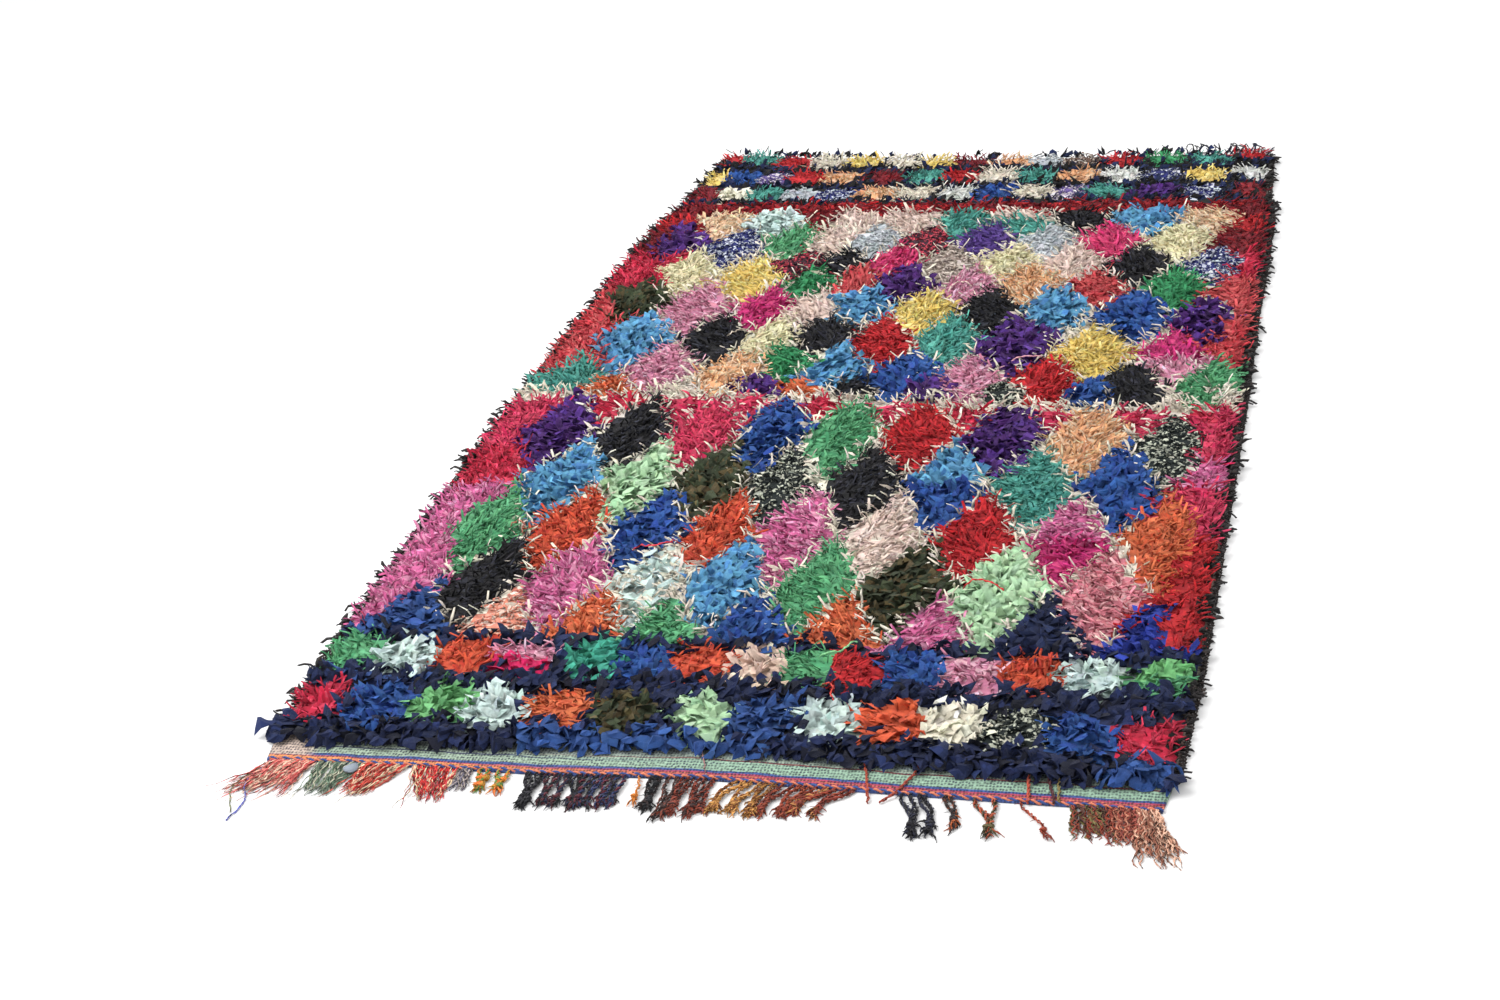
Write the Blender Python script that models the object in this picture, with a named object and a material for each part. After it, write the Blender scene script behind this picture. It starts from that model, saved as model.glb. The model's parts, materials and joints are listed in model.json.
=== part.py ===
"""A Moroccan rag rug lying flat: woven ground, cut-rag pile, overcast sides and knotted warp fringes.

Metres, +Z up. The rug lies on the plane z = 0 with its length along Y and its fringed kilim end
towards -Y. The origin is the middle of its outline, on the floor.
"""

from collections import namedtuple

import bmesh
import bpy
from mathutils import Vector, noise

# Thicknesses and clearances
GROUND_THICKNESS = 0.003
CLEARANCE = 0.0003
PILE_BASE = GROUND_THICKNESS + CLEARANCE
PILE_LOW = 0.020
MOUND_RISE = 0.007
MOUND_STEEPNESS = 2.2
LUMP_RISE = 0.003
LUMPS_PER_METRE = 26.0
SHOULDER_HEIGHT = 0.017

# Locks of rag round the rim of the pile
LOCK_THICKNESS = 0.005
LOCK_TIP_THICKNESS = 0.004
LOCK_NOTCH = 0.006
LOCK_REACH_END = 0.024
LOCK_REACH_SIDE = 0.011
SIDE_INSET = LOCK_REACH_SIDE + 0.001
CELLS_ACROSS = 36
CELLS_ALONG = 64
SHOULDER_INSET = 0.016

# Overcast selvedge
SELVEDGE_WIDTH = 0.009
SELVEDGE_HEIGHT = 0.009
SELVEDGE_FOOT_TUCK = 0.002
SELVEDGE_WIDEST_AT = 0.35
SELVEDGE_INNER_RISE = 0.6
TUFT_REACH = 0.012

# Fringes
TWINED_DEPTH = 0.008
TWINED_HEIGHT = 0.005
STRAND_WIDTH = 0.0045
NEAR_STRAND_HEIGHT = 0.0048
FAR_STRAND_HEIGHT = 0.0026
STRAND_BOW = 0.05
FAR_STRIP_DEPTH = 0.006
STRIP_END_MARGIN = 0.001

# Sections along a strand after its root: how far along, and its width and height against the root's.
# It stays even to the middle, swells at the knot and tapers to the tip.
STRAND_SECTIONS = (
    (0.50, 1.00, 1.00),
    (0.84, 1.35, 1.15),
    (1.00, 0.45, 0.45),
)

# The long edges of the woven ground: how far each lies from the centre line, at places along Y.
SideStation = namedtuple("SideStation", "y left right")
SIDES = (
    SideStation(-1.390, 0.610, 0.627),
    SideStation(-1.300, 0.630, 0.640),
    SideStation(-1.020, 0.648, 0.652),
    SideStation(-0.500, 0.660, 0.657),
    SideStation(-0.020, 0.668, 0.662),
    SideStation(0.400, 0.664, 0.662),
    SideStation(0.700, 0.664, 0.667),
    SideStation(1.000, 0.650, 0.668),
    SideStation(1.120, 0.632, 0.655),
    SideStation(1.480, 0.622, 0.648),
)

# The short edges: the kilim's twined edge, and the near and far edges of the pile, at places across X.
EndStation = namedtuple("EndStation", "x kilim_edge pile_near pile_far")
ENDS = (
    EndStation(-0.670, -1.352, -1.285, 1.475),
    EndStation(-0.400, -1.352, -1.290, 1.440),
    EndStation(-0.200, -1.357, -1.280, 1.415),
    EndStation(0.000, -1.350, -1.278, 1.410),
    EndStation(0.300, -1.367, -1.295, 1.420),
    EndStation(0.670, -1.383, -1.318, 1.432),
)

# Rows of motifs that stand as soft mounds in the pile, from the near border to the far one.
MotifRow = namedtuple("MotifRow", "shape y half_depth half_width count reach")
MOTIF_ROWS = (
    MotifRow("block", -1.180, 0.050, 0.046, 14, 0.600),
    MotifRow("block", -1.035, 0.052, 0.044, 15, 0.605),
    MotifRow("lozenge", -0.905, 0.165, 0.072, 9, 0.580),
    MotifRow("lozenge", -0.745, 0.175, 0.072, 8, 0.500),
    MotifRow("lozenge", -0.565, 0.175, 0.072, 9, 0.570),
    MotifRow("lozenge", -0.385, 0.175, 0.072, 8, 0.490),
    MotifRow("lozenge", -0.190, 0.165, 0.072, 9, 0.550),
    MotifRow("lozenge", 0.105, 0.145, 0.068, 10, 0.600),
    MotifRow("lozenge", 0.265, 0.145, 0.070, 9, 0.535),
    MotifRow("lozenge", 0.415, 0.145, 0.068, 9, 0.595),
    MotifRow("lozenge", 0.550, 0.140, 0.068, 9, 0.550),
    MotifRow("lozenge", 0.685, 0.140, 0.068, 9, 0.580),
    MotifRow("lozenge", 0.820, 0.135, 0.068, 9, 0.520),
    MotifRow("lozenge", 0.950, 0.130, 0.068, 9, 0.560),
    MotifRow("block", 1.115, 0.046, 0.042, 15, 0.600),
    MotifRow("block", 1.240, 0.046, 0.042, 15, 0.600),
    MotifRow("block", 1.370, 0.050, 0.042, 15, 0.600),
)

# Knotted warp bunches: roots from first to last across X, their length, and how far the tips lean.
Bunch = namedtuple("Bunch", "first last strands length lean spread")
NEAR_BUNCHES = (
    Bunch(-0.602, -0.548, 8, 0.092, -0.034, 0.010),
    Bunch(-0.536, -0.478, 6, 0.085, 0.000, -0.006),
    Bunch(-0.466, -0.410, 6, 0.082, -0.016, 0.004),
    Bunch(-0.398, -0.338, 6, 0.088, 0.004, -0.012),
    Bunch(-0.326, -0.316, 2, 0.055, 0.006, 0.002),
    Bunch(-0.302, -0.262, 4, 0.052, 0.006, 0.000),
    Bunch(-0.226, -0.218, 2, 0.090, 0.006, 0.002),
    Bunch(-0.196, -0.154, 4, 0.084, 0.006, 0.004),
    Bunch(-0.144, -0.096, 5, 0.086, 0.000, 0.002),
    Bunch(-0.074, -0.074, 1, 0.080, 0.006, 0.000),
    Bunch(-0.056, -0.046, 2, 0.092, 0.004, 0.002),
    Bunch(-0.032, -0.022, 2, 0.110, 0.002, 0.002),
    Bunch(-0.010, 0.032, 5, 0.096, -0.004, 0.000),
    Bunch(0.064, 0.112, 6, 0.082, -0.018, 0.006),
    Bunch(0.128, 0.162, 4, 0.084, -0.020, 0.002),
    Bunch(0.176, 0.226, 5, 0.068, -0.036, 0.000),
    Bunch(0.290, 0.320, 4, 0.102, 0.022, 0.002),
    Bunch(0.344, 0.352, 2, 0.078, 0.018, 0.002),
    Bunch(0.384, 0.412, 2, 0.096, 0.016, -0.006),
    Bunch(0.446, 0.446, 1, 0.098, 0.042, 0.000),
    Bunch(0.514, 0.552, 5, 0.082, 0.018, 0.002),
    Bunch(0.564, 0.590, 4, 0.084, 0.014, 0.002),
    Bunch(0.598, 0.622, 4, 0.132, 0.036, 0.014),
)
FAR_BUNCHES = (
    Bunch(-0.560, -0.540, 2, 0.022, -0.006, 0.002),
    Bunch(-0.380, -0.350, 3, 0.018, 0.004, 0.002),
    Bunch(-0.150, -0.130, 2, 0.026, -0.004, 0.002),
    Bunch(0.060, 0.080, 2, 0.022, 0.006, 0.002),
    Bunch(0.300, 0.330, 3, 0.020, 0.004, 0.002),
    Bunch(0.480, 0.530, 4, 0.050, -0.012, 0.004),
    Bunch(0.590, 0.630, 5, 0.083, 0.006, 0.010),
)

NAVY = (0.025, 0.032, 0.075, 1.0)
SALMON = (0.46, 0.20, 0.15, 1.0)
MINT = (0.30, 0.42, 0.33, 1.0)
ROSE = (0.55, 0.12, 0.20, 1.0)
BROWN_BLACK = (0.035, 0.028, 0.026, 1.0)


def between(table, key, column, at):
    """Read a column of a station table at a place between its stations."""
    if at <= getattr(table[0], key):
        return getattr(table[0], column)
    for before, after in zip(table, table[1:]):
        low, high = getattr(before, key), getattr(after, key)
        if at <= high:
            start = getattr(before, column)
            return start + (getattr(after, column) - start) * (at - low) / (high - low)
    return getattr(table[-1], column)


def side_x(side, y):
    """X of the woven ground's long edge at y; side is -1 on the left and +1 on the right."""
    column = "left" if side < 0 else "right"
    return side * between(SIDES, "y", column, y)


def end_y(column, x):
    """Y of one of the short edges at x."""
    return between(ENDS, "x", column, x)


def plan_point(across, along):
    """Point of the pile's plan; across and along both run from 0 to 1."""
    x_guess = side_x(-1, 0.0) + across * (side_x(1, 0.0) - side_x(-1, 0.0))
    near, far = end_y("pile_near", x_guess), end_y("pile_far", x_guess)
    y = near + along * (far - near)
    left, right = side_x(-1, y), side_x(1, y)
    return Vector((left + across * (right - left), y, 0.0))


def wobble(place, seed):
    """Even, repeatable noise from -1 to 1 at a place."""
    return noise.noise(Vector((place * 7.31 + seed, seed * 3.17, 0.5)))


def mound(x, y):
    """Height share of the motif at a point of the pile: 1 on its crown and 0 in the furrows."""
    best = 0.0
    for row in MOTIF_ROWS:
        deep = abs(y - row.y) / row.half_depth
        if deep >= 1:
            continue
        pitch = 2 * row.reach / (row.count - 1)
        nearest = round((x + row.reach) / pitch)
        nearest = min(max(nearest, 0), row.count - 1)
        wide = abs(x + row.reach - nearest * pitch) / row.half_width
        away = wide + deep if row.shape == "lozenge" else max(wide, deep)
        best = max(best, 1 - away)
    return min(1.0, best * MOUND_STEEPNESS)


def pile_height(x, y):
    """Height of the pile's lumpy top above the floor."""
    lumps = noise.noise(Vector((x, y, 0.3)) * LUMPS_PER_METRE)
    return PILE_BASE + PILE_LOW + MOUND_RISE * mound(x, y) + LUMP_RISE * lumps


def new_object(name, mesh_builder, colour, roughness):
    """Make a named object from a bmesh, with its own plain material."""
    mesh = bpy.data.meshes.new(name)
    bmesh.ops.recalc_face_normals(mesh_builder, faces=mesh_builder.faces)
    mesh_builder.to_mesh(mesh)
    mesh_builder.free()
    material = bpy.data.materials.new(name)
    material.use_nodes = True
    shader = material.node_tree.nodes["Principled BSDF"]
    shader.inputs["Base Color"].default_value = colour
    shader.inputs["Roughness"].default_value = roughness
    shader.inputs["Metallic"].default_value = 0.0
    mesh.materials.append(material)
    made = bpy.data.objects.new(name, mesh)
    bpy.context.scene.collection.objects.link(made)
    return made


def turns_between_corners():
    """X of the places where the short edges turn."""
    return [station.x for station in ENDS[1:-1]]


def station_ys(side):
    """Y of the stations along a long edge, from one corner of the pile to the other."""
    first = end_y("pile_near", side_x(side, SIDES[0].y))
    last = end_y("pile_far", side_x(side, SIDES[-1].y))
    step = (last - first) / CELLS_ALONG
    return [first + step * i for i in range(CELLS_ALONG + 1)]


def build_ground():
    """The woven ground: one flat sheet under the pile that shows beyond it as the kilim end."""
    set_back = TWINED_DEPTH + CLEARANCE
    near = [side_x(-1, kilim_edge(-1.0)), *turns_between_corners(), side_x(1, kilim_edge(1.0))]
    outline = [(x, kilim_edge(x) + set_back) for x in near]
    outline += [(side_x(1, y), y) for y in station_ys(1)]
    outline += [(x, end_y("pile_far", x)) for x in reversed(turns_between_corners())]
    outline += [(side_x(-1, y), y) for y in reversed(station_ys(-1))]
    builder = bmesh.new()
    face = builder.faces.new([builder.verts.new((x, y, 0.0)) for x, y in outline])
    raised = bmesh.ops.extrude_face_region(builder, geom=[face])
    top = [item for item in raised["geom"] if isinstance(item, bmesh.types.BMVert)]
    bmesh.ops.translate(builder, verts=top, vec=(0.0, 0.0, GROUND_THICKNESS))
    return new_object("woven_ground", builder, MINT, 0.9)


def rim_cells():
    """The rim of the pile's grid, once round: pairs of grid places and the way out of the pile there."""
    cells = []
    for i in range(CELLS_ACROSS):
        cells.append(((i, 0), (i + 1, 0), Vector((0, -1, 0))))
    for j in range(CELLS_ALONG):
        cells.append(((CELLS_ACROSS, j), (CELLS_ACROSS, j + 1), Vector((1, 0, 0))))
    for i in range(CELLS_ACROSS, 0, -1):
        cells.append(((i, CELLS_ALONG), (i - 1, CELLS_ALONG), Vector((0, 1, 0))))
    for j in range(CELLS_ALONG, 0, -1):
        cells.append(((0, j), (0, j - 1), Vector((-1, 0, 0))))
    return cells


def shoulder_point(i, j):
    """A grid point of the pile's top; the outermost ones are drawn in to leave room for the locks."""
    flat = plan_point(i / CELLS_ACROSS, j / CELLS_ALONG)
    edge_x = (i == 0) - (i == CELLS_ACROSS)
    edge_y = (j == 0) - (j == CELLS_ALONG)
    if edge_x or edge_y:
        flat += Vector((edge_x, edge_y, 0)) * SHOULDER_INSET
        height = PILE_BASE + SHOULDER_HEIGHT + LUMP_RISE * wobble(flat.x + 2 * flat.y, 4.0)
    else:
        height = pile_height(flat.x, flat.y)
    return Vector((flat.x, flat.y, height))


def rim_notch(place, outward, outward_before):
    """Where two locks part: set in beside the selvedges, and standing out over the ends."""
    sideways = outward.x or outward_before.x
    if sideways:
        return place - Vector((sideways * SIDE_INSET, 0, 0))
    return place + outward * LOCK_NOTCH


def lock_tip(middle, outward, number):
    """The tip of one lock: long over the ends, short beside the selvedges."""
    if outward.x:
        reach = LOCK_REACH_SIDE * (0.75 + 0.25 * wobble(number * 0.37, 5.0))
        return middle + outward * (reach - SIDE_INSET)
    return middle + outward * LOCK_REACH_END * (0.7 + 0.3 * wobble(number * 0.37, 9.0))


def build_pile():
    """The rag pile: a lumpy slab whose motifs stand as mounds, with a lock at each cell of its rim."""
    builder = bmesh.new()
    grid = {}
    for i in range(CELLS_ACROSS + 1):
        for j in range(CELLS_ALONG + 1):
            grid[i, j] = builder.verts.new(shoulder_point(i, j))
    for i in range(CELLS_ACROSS):
        for j in range(CELLS_ALONG):
            builder.faces.new((grid[i, j], grid[i + 1, j], grid[i + 1, j + 1], grid[i, j + 1]))

    upper, shoulders = [], []
    cells = rim_cells()
    for number, (start, stop, outward) in enumerate(cells):
        a = plan_point(start[0] / CELLS_ACROSS, start[1] / CELLS_ALONG)
        b = plan_point(stop[0] / CELLS_ACROSS, stop[1] / CELLS_ALONG)
        notch = rim_notch(a, outward, cells[number - 1][2])
        tip = lock_tip((a + b) / 2, outward, number)
        upper.append(builder.verts.new((notch.x, notch.y, PILE_BASE + LOCK_THICKNESS)))
        upper.append(builder.verts.new((tip.x, tip.y, PILE_BASE + LOCK_TIP_THICKNESS)))
        shoulders.append((grid[start], grid[stop]))

    count = len(upper)
    for number, (a, b) in enumerate(shoulders):
        first, tip, last = (upper[(2 * number + k) % count] for k in range(3))
        builder.faces.new((a, first, tip))
        builder.faces.new((a, tip, b))
        builder.faces.new((b, tip, last))
    lower = [builder.verts.new((v.co.x, v.co.y, PILE_BASE)) for v in upper]
    for k in range(count):
        n = (k + 1) % count
        builder.faces.new((upper[k], lower[k], lower[n], upper[n]))
    builder.faces.new(list(reversed(lower)))
    return new_object("rag_pile", builder, ROSE, 0.92)


def build_selvedge(side, name):
    """One overcast selvedge: a low wrapped edge whose tufts stand out unevenly along the rug's side."""
    builder = bmesh.new()
    rings = []
    for number, y in enumerate(station_ys(side)):
        inner = side_x(side, y) + side * CLEARANCE
        tuft = TUFT_REACH * (0.5 + 0.5 * wobble(number * 0.61, 2.0 + side)) * (number % 2)
        outer = inner + side * (SELVEDGE_WIDTH + tuft)
        crown = SELVEDGE_HEIGHT * (0.85 + 0.15 * wobble(number * 0.83, 7.0 + side))
        profile = (
            (inner, 0.0),
            (outer - side * SELVEDGE_FOOT_TUCK, 0.0),
            (outer, crown * SELVEDGE_WIDEST_AT),
            ((inner + outer) / 2, crown),
            (inner, crown * SELVEDGE_INNER_RISE),
        )
        rings.append([builder.verts.new((x, y, z)) for x, z in profile])
    for before, after in zip(rings, rings[1:]):
        for k in range(len(before)):
            n = (k + 1) % len(before)
            builder.faces.new((before[k], before[n], after[n], after[k]))
    builder.faces.new(rings[0])
    builder.faces.new(rings[-1])
    return new_object(name, builder, BROWN_BLACK, 0.95)


def strand_roots(bunches):
    """Where each strand leaves its strip, and its length and lean, from the table of bunches."""
    roots = []
    for number, bunch in enumerate(bunches):
        for k in range(bunch.strands):
            share = k / (bunch.strands - 1) if bunch.strands > 1 else 0.5
            x = bunch.first + share * (bunch.last - bunch.first)
            uneven = 1 + 0.09 * wobble(k * 0.9 + number, 6.0)
            if k == bunch.strands - 1:
                uneven = 1.0
            lean = bunch.lean + bunch.spread * (2 * share - 1)
            roots.append((x, bunch.length * uneven, lean))
    return roots


def strand_ring(place, heading, width, height):
    """The four corners of a strand's section, resting level on the floor."""
    across = Vector((heading.y, -heading.x, 0.0)).normalized() * width / 2
    up = Vector((0.0, 0.0, height))
    return [place - across, place + across, place + across + up, place - across + up]


def grow_strand(builder, root_ring, outward, length, lean, thick, number):
    """Extrude one strand from its root on the strip: a shallow bow, a knot near the end, then a tip."""
    root = (root_ring[0].co + root_ring[1].co) / 2
    tip = root + Vector((lean, outward * length, 0.0))
    bow = Vector((STRAND_BOW * length * wobble(number * 1.7, 8.0), 0.0, 0.0))
    last = root_ring
    behind = root
    for share, wide, high in STRAND_SECTIONS:
        place = root.lerp(tip, share) + bow * (4 * share * (1 - share))
        heading = (place - behind) * outward
        corners = strand_ring(place, heading, STRAND_WIDTH * wide, thick * high)
        ring = [builder.verts.new(corner) for corner in corners]
        for k in range(4):
            n = (k + 1) % 4
            builder.faces.new((last[k], last[n], ring[n], ring[k]))
        last, behind = ring, place
    builder.faces.new(last)


def build_fringe(name, bunches, edge, outward, sizes, colour):
    """A narrow twined strip along a short edge, with the strands of its bunches grown out of it."""
    depth, height, thick = sizes
    builder = bmesh.new()
    roots = strand_roots(bunches)
    left = side_x(-1, edge(-1.0)) + STRIP_END_MARGIN
    right = side_x(1, edge(1.0)) - STRIP_END_MARGIN
    turns = [x for x in turns_between_corners() if all(abs(x - root[0]) > STRAND_WIDTH for root in roots)]
    places = [left]
    rooted = []
    for x, has_strand in sorted([(root[0], True) for root in roots] + [(x, False) for x in turns]):
        if has_strand:
            rooted.append(len(places))
            places += [x - STRAND_WIDTH / 2, x + STRAND_WIDTH / 2]
        else:
            places.append(x)
    places.append(right)
    root_height = min(height, thick)

    columns = []
    for x in places:
        front, back = edge(x), edge(x) - outward * depth
        column = ((x, front, 0.0), (x, front, root_height), (x, back, height), (x, back, 0.0))
        columns.append([builder.verts.new(corner) for corner in column])
    for number, (before, after) in enumerate(zip(columns, columns[1:])):
        for k in range(4):
            n = (k + 1) % 4
            if k == 0 and number in rooted:
                continue
            builder.faces.new((before[k], before[n], after[n], after[k]))
    for number, (_, length, lean) in zip(rooted, roots):
        before, after = columns[number], columns[number + 1]
        ring = [before[0], after[0], after[1], before[1]]
        grow_strand(builder, ring, outward, length, lean, thick, number)
    builder.faces.new(columns[0])
    builder.faces.new(columns[-1])
    return new_object(name, builder, colour, 0.9)


def kilim_edge(x):
    """The twined edge that the near fringe hangs from."""
    return end_y("kilim_edge", x)


def far_edge(x):
    """The far edge of the strip under the pile's last locks."""
    return end_y("pile_far", x) + CLEARANCE + FAR_STRIP_DEPTH


def clear_scene():
    """Remove what the scene starts with."""
    for leftover in list(bpy.data.objects):
        bpy.data.objects.remove(leftover)


def main():
    """Build the rug, piece by piece."""
    clear_scene()
    build_ground()
    build_pile()
    build_selvedge(-1, "selvedge_left")
    build_selvedge(1, "selvedge_right")
    near_sizes = (TWINED_DEPTH, TWINED_HEIGHT, NEAR_STRAND_HEIGHT)
    far_sizes = (FAR_STRIP_DEPTH, GROUND_THICKNESS, FAR_STRAND_HEIGHT)
    build_fringe("near_fringe", NEAR_BUNCHES, kilim_edge, -1, near_sizes, SALMON)
    build_fringe("far_fringe", FAR_BUNCHES, far_edge, 1, far_sizes, NAVY)


main()
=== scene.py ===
import json
import logging
import math
from collections.abc import Callable
from dataclasses import dataclass, field
from enum import Enum, IntEnum

import bpy
import numpy as np
from bpy.types import Material, Mesh, Node, NodeSocket, NodeTree, Object
from mathutils import Matrix, Vector
from numpy.random import Generator

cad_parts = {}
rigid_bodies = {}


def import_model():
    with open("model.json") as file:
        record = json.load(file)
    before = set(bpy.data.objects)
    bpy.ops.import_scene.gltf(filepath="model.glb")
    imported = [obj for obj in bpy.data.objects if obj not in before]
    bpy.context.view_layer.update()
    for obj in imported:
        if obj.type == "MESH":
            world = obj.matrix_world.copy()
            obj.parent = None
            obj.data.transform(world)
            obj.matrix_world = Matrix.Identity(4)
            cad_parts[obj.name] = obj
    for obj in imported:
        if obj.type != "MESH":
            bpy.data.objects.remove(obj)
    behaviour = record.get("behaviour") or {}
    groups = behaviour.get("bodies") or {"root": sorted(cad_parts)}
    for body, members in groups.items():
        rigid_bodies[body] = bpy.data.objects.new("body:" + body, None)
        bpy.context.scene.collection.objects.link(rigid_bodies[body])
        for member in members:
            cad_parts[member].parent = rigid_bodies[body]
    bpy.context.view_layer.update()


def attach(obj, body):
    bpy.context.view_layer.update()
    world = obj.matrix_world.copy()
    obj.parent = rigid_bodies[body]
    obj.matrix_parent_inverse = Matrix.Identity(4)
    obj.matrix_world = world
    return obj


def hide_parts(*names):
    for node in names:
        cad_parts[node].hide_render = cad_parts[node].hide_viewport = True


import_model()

LOG = logging.getLogger("rag_rug")
CM = 0.01
MM_PER_METRE = 1000
BODY = "root"
STRAND_MAP = "Strand"
BAKE_MAP = "OFBake"
DYE = "Dye"
SECOND_DYE = "SecondDye"
NEAR_EDGE, NEAR_PILE, FAR_PILE = 1, 2, 3
Dye = tuple[float, ...]
Array = np.ndarray


class Seed(IntEnum):
    """Seeds of the random draws."""

    PILE = 4
    GROUND = 11
    NEAR_FRINGE = 23
    ROPES = 29
    FINE_YARNS = 30
    EDGE_CORD = 31
    FAR_FRINGE = 37
    FAR_YARNS = 41
    TUFTS = 50
    WRAP = 60
    THREAD_DYES = 71
    THREADS = 73


class Cut(Enum):
    """How a cloth was cut before it was knotted."""

    LEAF = "leaf"
    SPIKE = "spike"
    KNIT = "knit"


@dataclass(frozen=True)
class Cloth:
    """One kind of rag: its two dyes, its cut, and how far its strips differ in shade."""

    dye: Dye
    second: Dye
    cut: Cut
    spread: float = 0.15


# The dyes are guessed sRGB values of 0 to 255.
CLOTH_CHART = """
    navy leaf 21,31,64 30,42,82; navy_spike spike 22,28,52; midnight leaf 18,21,38; blue leaf 42,82,148 34,66,140;
    denim leaf 44,76,136; royal leaf 28,46,134 40,60,158; sky leaf 88,148,186 68,124,176; ice leaf 200,220,216;
    mint leaf 180,214,174 164,202,160 0.1; green spike 98,172,122 74,152,104; leaf_green leaf 112,178,116;
    emerald spike 58,150,96 42,124,78; teal spike 88,168,154 62,142,132; teal_leaf leaf 62,154,132;
    purple leaf 66,28,96 84,48,132; violet spike 98,70,150; magenta spike 200,44,118 220,70,130;
    cerise leaf 214,34,98; hot_pink spike 226,72,122 210,44,110; dusty spike 204,98,148 228,150,184 0.18;
    rose spike 216,66,98 198,34,82 0.18; pink spike 214,136,164 234,180,198 0.18;
    shell spike 220,130,144 234,170,174; blush spike 240,214,202 0.1; blush_leaf leaf 234,204,186;
    cream spike 246,234,216 0.05; cream_leaf leaf 234,228,208; butter spike 254,238,196 0.05;
    yellow spike 242,208,112 248,226,150 0.1; peach spike 236,172,126 246,208,172;
    apricot spike 244,198,160 250,222,192; orange spike 224,116,74 206,88,54; orange_red spike 214,88,58 196,62,44;
    orange_leaf leaf 218,94,60; coral spike 214,90,92 196,60,70; brick spike 198,58,68 220,100,100 0.2;
    red spike 196,38,44 174,26,38 0.18; crimson spike 190,28,60 214,60,88 0.18;
    maroon spike 118,22,36 150,28,38 0.2; black spike 27,26,29 42,43,54 0.45; soot leaf 20,18,20;
    camo leaf 50,58,38 78,68,42 0.28; taupe knit 150,134,124 214,200,188; grey knit 176,184,190 214,218,222;
    white spike 226,228,222; salmon_mix knit 234,146,124 246,214,196; check_mix knit 20,30,30 196,200,182;
    blue_mix knit 34,40,104 206,212,224; red_mix knit 58,24,40 214,74,92; purple_mix knit 96,78,140 226,216,222;
    brown_mix knit 96,72,62 220,208,196; wool spike 18,17,18
"""


def numbers(word: str, unit: float = 1) -> tuple[float, ...]:
    """Reads numbers with commas between them, and divides them by the unit."""
    return tuple(float(number) / unit for number in word.split(","))


def read_cloth(entry: str) -> tuple[str, Cloth]:
    """Reads a cloth charted as its name, its cut, one or two dyes, and its spread if that isn't the usual one."""
    name, cut, *words = entry.split()
    dyes = [numbers(word) for word in words if "," in word]
    return name, Cloth(dyes[0], dyes[-1], Cut(cut), *(float(word) for word in words if "," not in word))


CLOTHS: dict[str, Cloth] = dict(map(read_cloth, CLOTH_CHART.split(";")))
INDEX: dict[str, int] = {name: place for place, name in enumerate(CLOTHS)}


def linear(dye: tuple[float, ...] | Array) -> Array:
    """Turns sRGB values of 0 to 255 into linear ones of 0 to 1."""
    value = np.asarray(dye, dtype=float) / 255.0
    return np.where(value <= 0.04045, value / 12.92, ((value + 0.055) / 1.055) ** 2.4)


FIRST_DYES = np.array([linear(cloth.dye) for cloth in CLOTHS.values()])
SECOND_DYES = np.array([linear(cloth.second) for cloth in CLOTHS.values()])
SPREADS = np.array([cloth.spread for cloth in CLOTHS.values()])
CUTS = np.array([cloth.cut for cloth in CLOTHS.values()])


@dataclass(frozen=True)
class Outline:
    """The rug's edges, with the stations that the CAD solids use.

    Attributes:
        sides: Rows of y, reach to the left and reach to the right.
        ends: Rows of x, kilim edge, near pile edge and far pile edge.
    """

    sides: tuple[tuple[float, float, float], ...] = (
        (-1.390, 0.610, 0.627),
        (-1.300, 0.630, 0.640),
        (-1.020, 0.648, 0.652),
        (-0.500, 0.660, 0.657),
        (-0.020, 0.668, 0.662),
        (0.400, 0.664, 0.662),
        (0.700, 0.664, 0.667),
        (1.000, 0.650, 0.668),
        (1.120, 0.632, 0.655),
        (1.480, 0.622, 0.648),
    )
    ends: tuple[tuple[float, float, float, float], ...] = (
        (-0.670, -1.352, -1.285, 1.475),
        (-0.400, -1.352, -1.290, 1.440),
        (-0.200, -1.357, -1.280, 1.415),
        (0.000, -1.350, -1.278, 1.410),
        (0.300, -1.367, -1.295, 1.420),
        (0.670, -1.383, -1.318, 1.432),
    )

    def left(self, y: Array | float) -> Array | float:
        """Returns x of the left side at y."""
        ys, lefts, _ = zip(*self.sides)
        return -np.interp(y, ys, lefts)

    def right(self, y: Array | float) -> Array | float:
        """Returns x of the right side at y."""
        ys, _, rights = zip(*self.sides)
        return np.interp(y, ys, rights)

    def end(self, x: Array | float, column: int) -> Array | float:
        """Returns y of an end line at x.

        Args:
            x: Place across the rug.
            column: NEAR_EDGE, NEAR_PILE or FAR_PILE.
        """
        table = list(zip(*self.ends))
        return np.interp(x, table[0], table[column])


OUTLINE = Outline()


@dataclass(frozen=True)
class MotifRow:
    """A row of motifs, charted in centimetres.

    Attributes:
        y: Middle of the row.
        half_width: Half a motif's width.
        half_height: Half a motif's length.
        chart: Motifs as "cloth x" or "cloth x y", or "upper/lower x", or "one+other x" for mixed rags.
    """

    y: float
    half_width: float
    half_height: float
    chart: str


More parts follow.
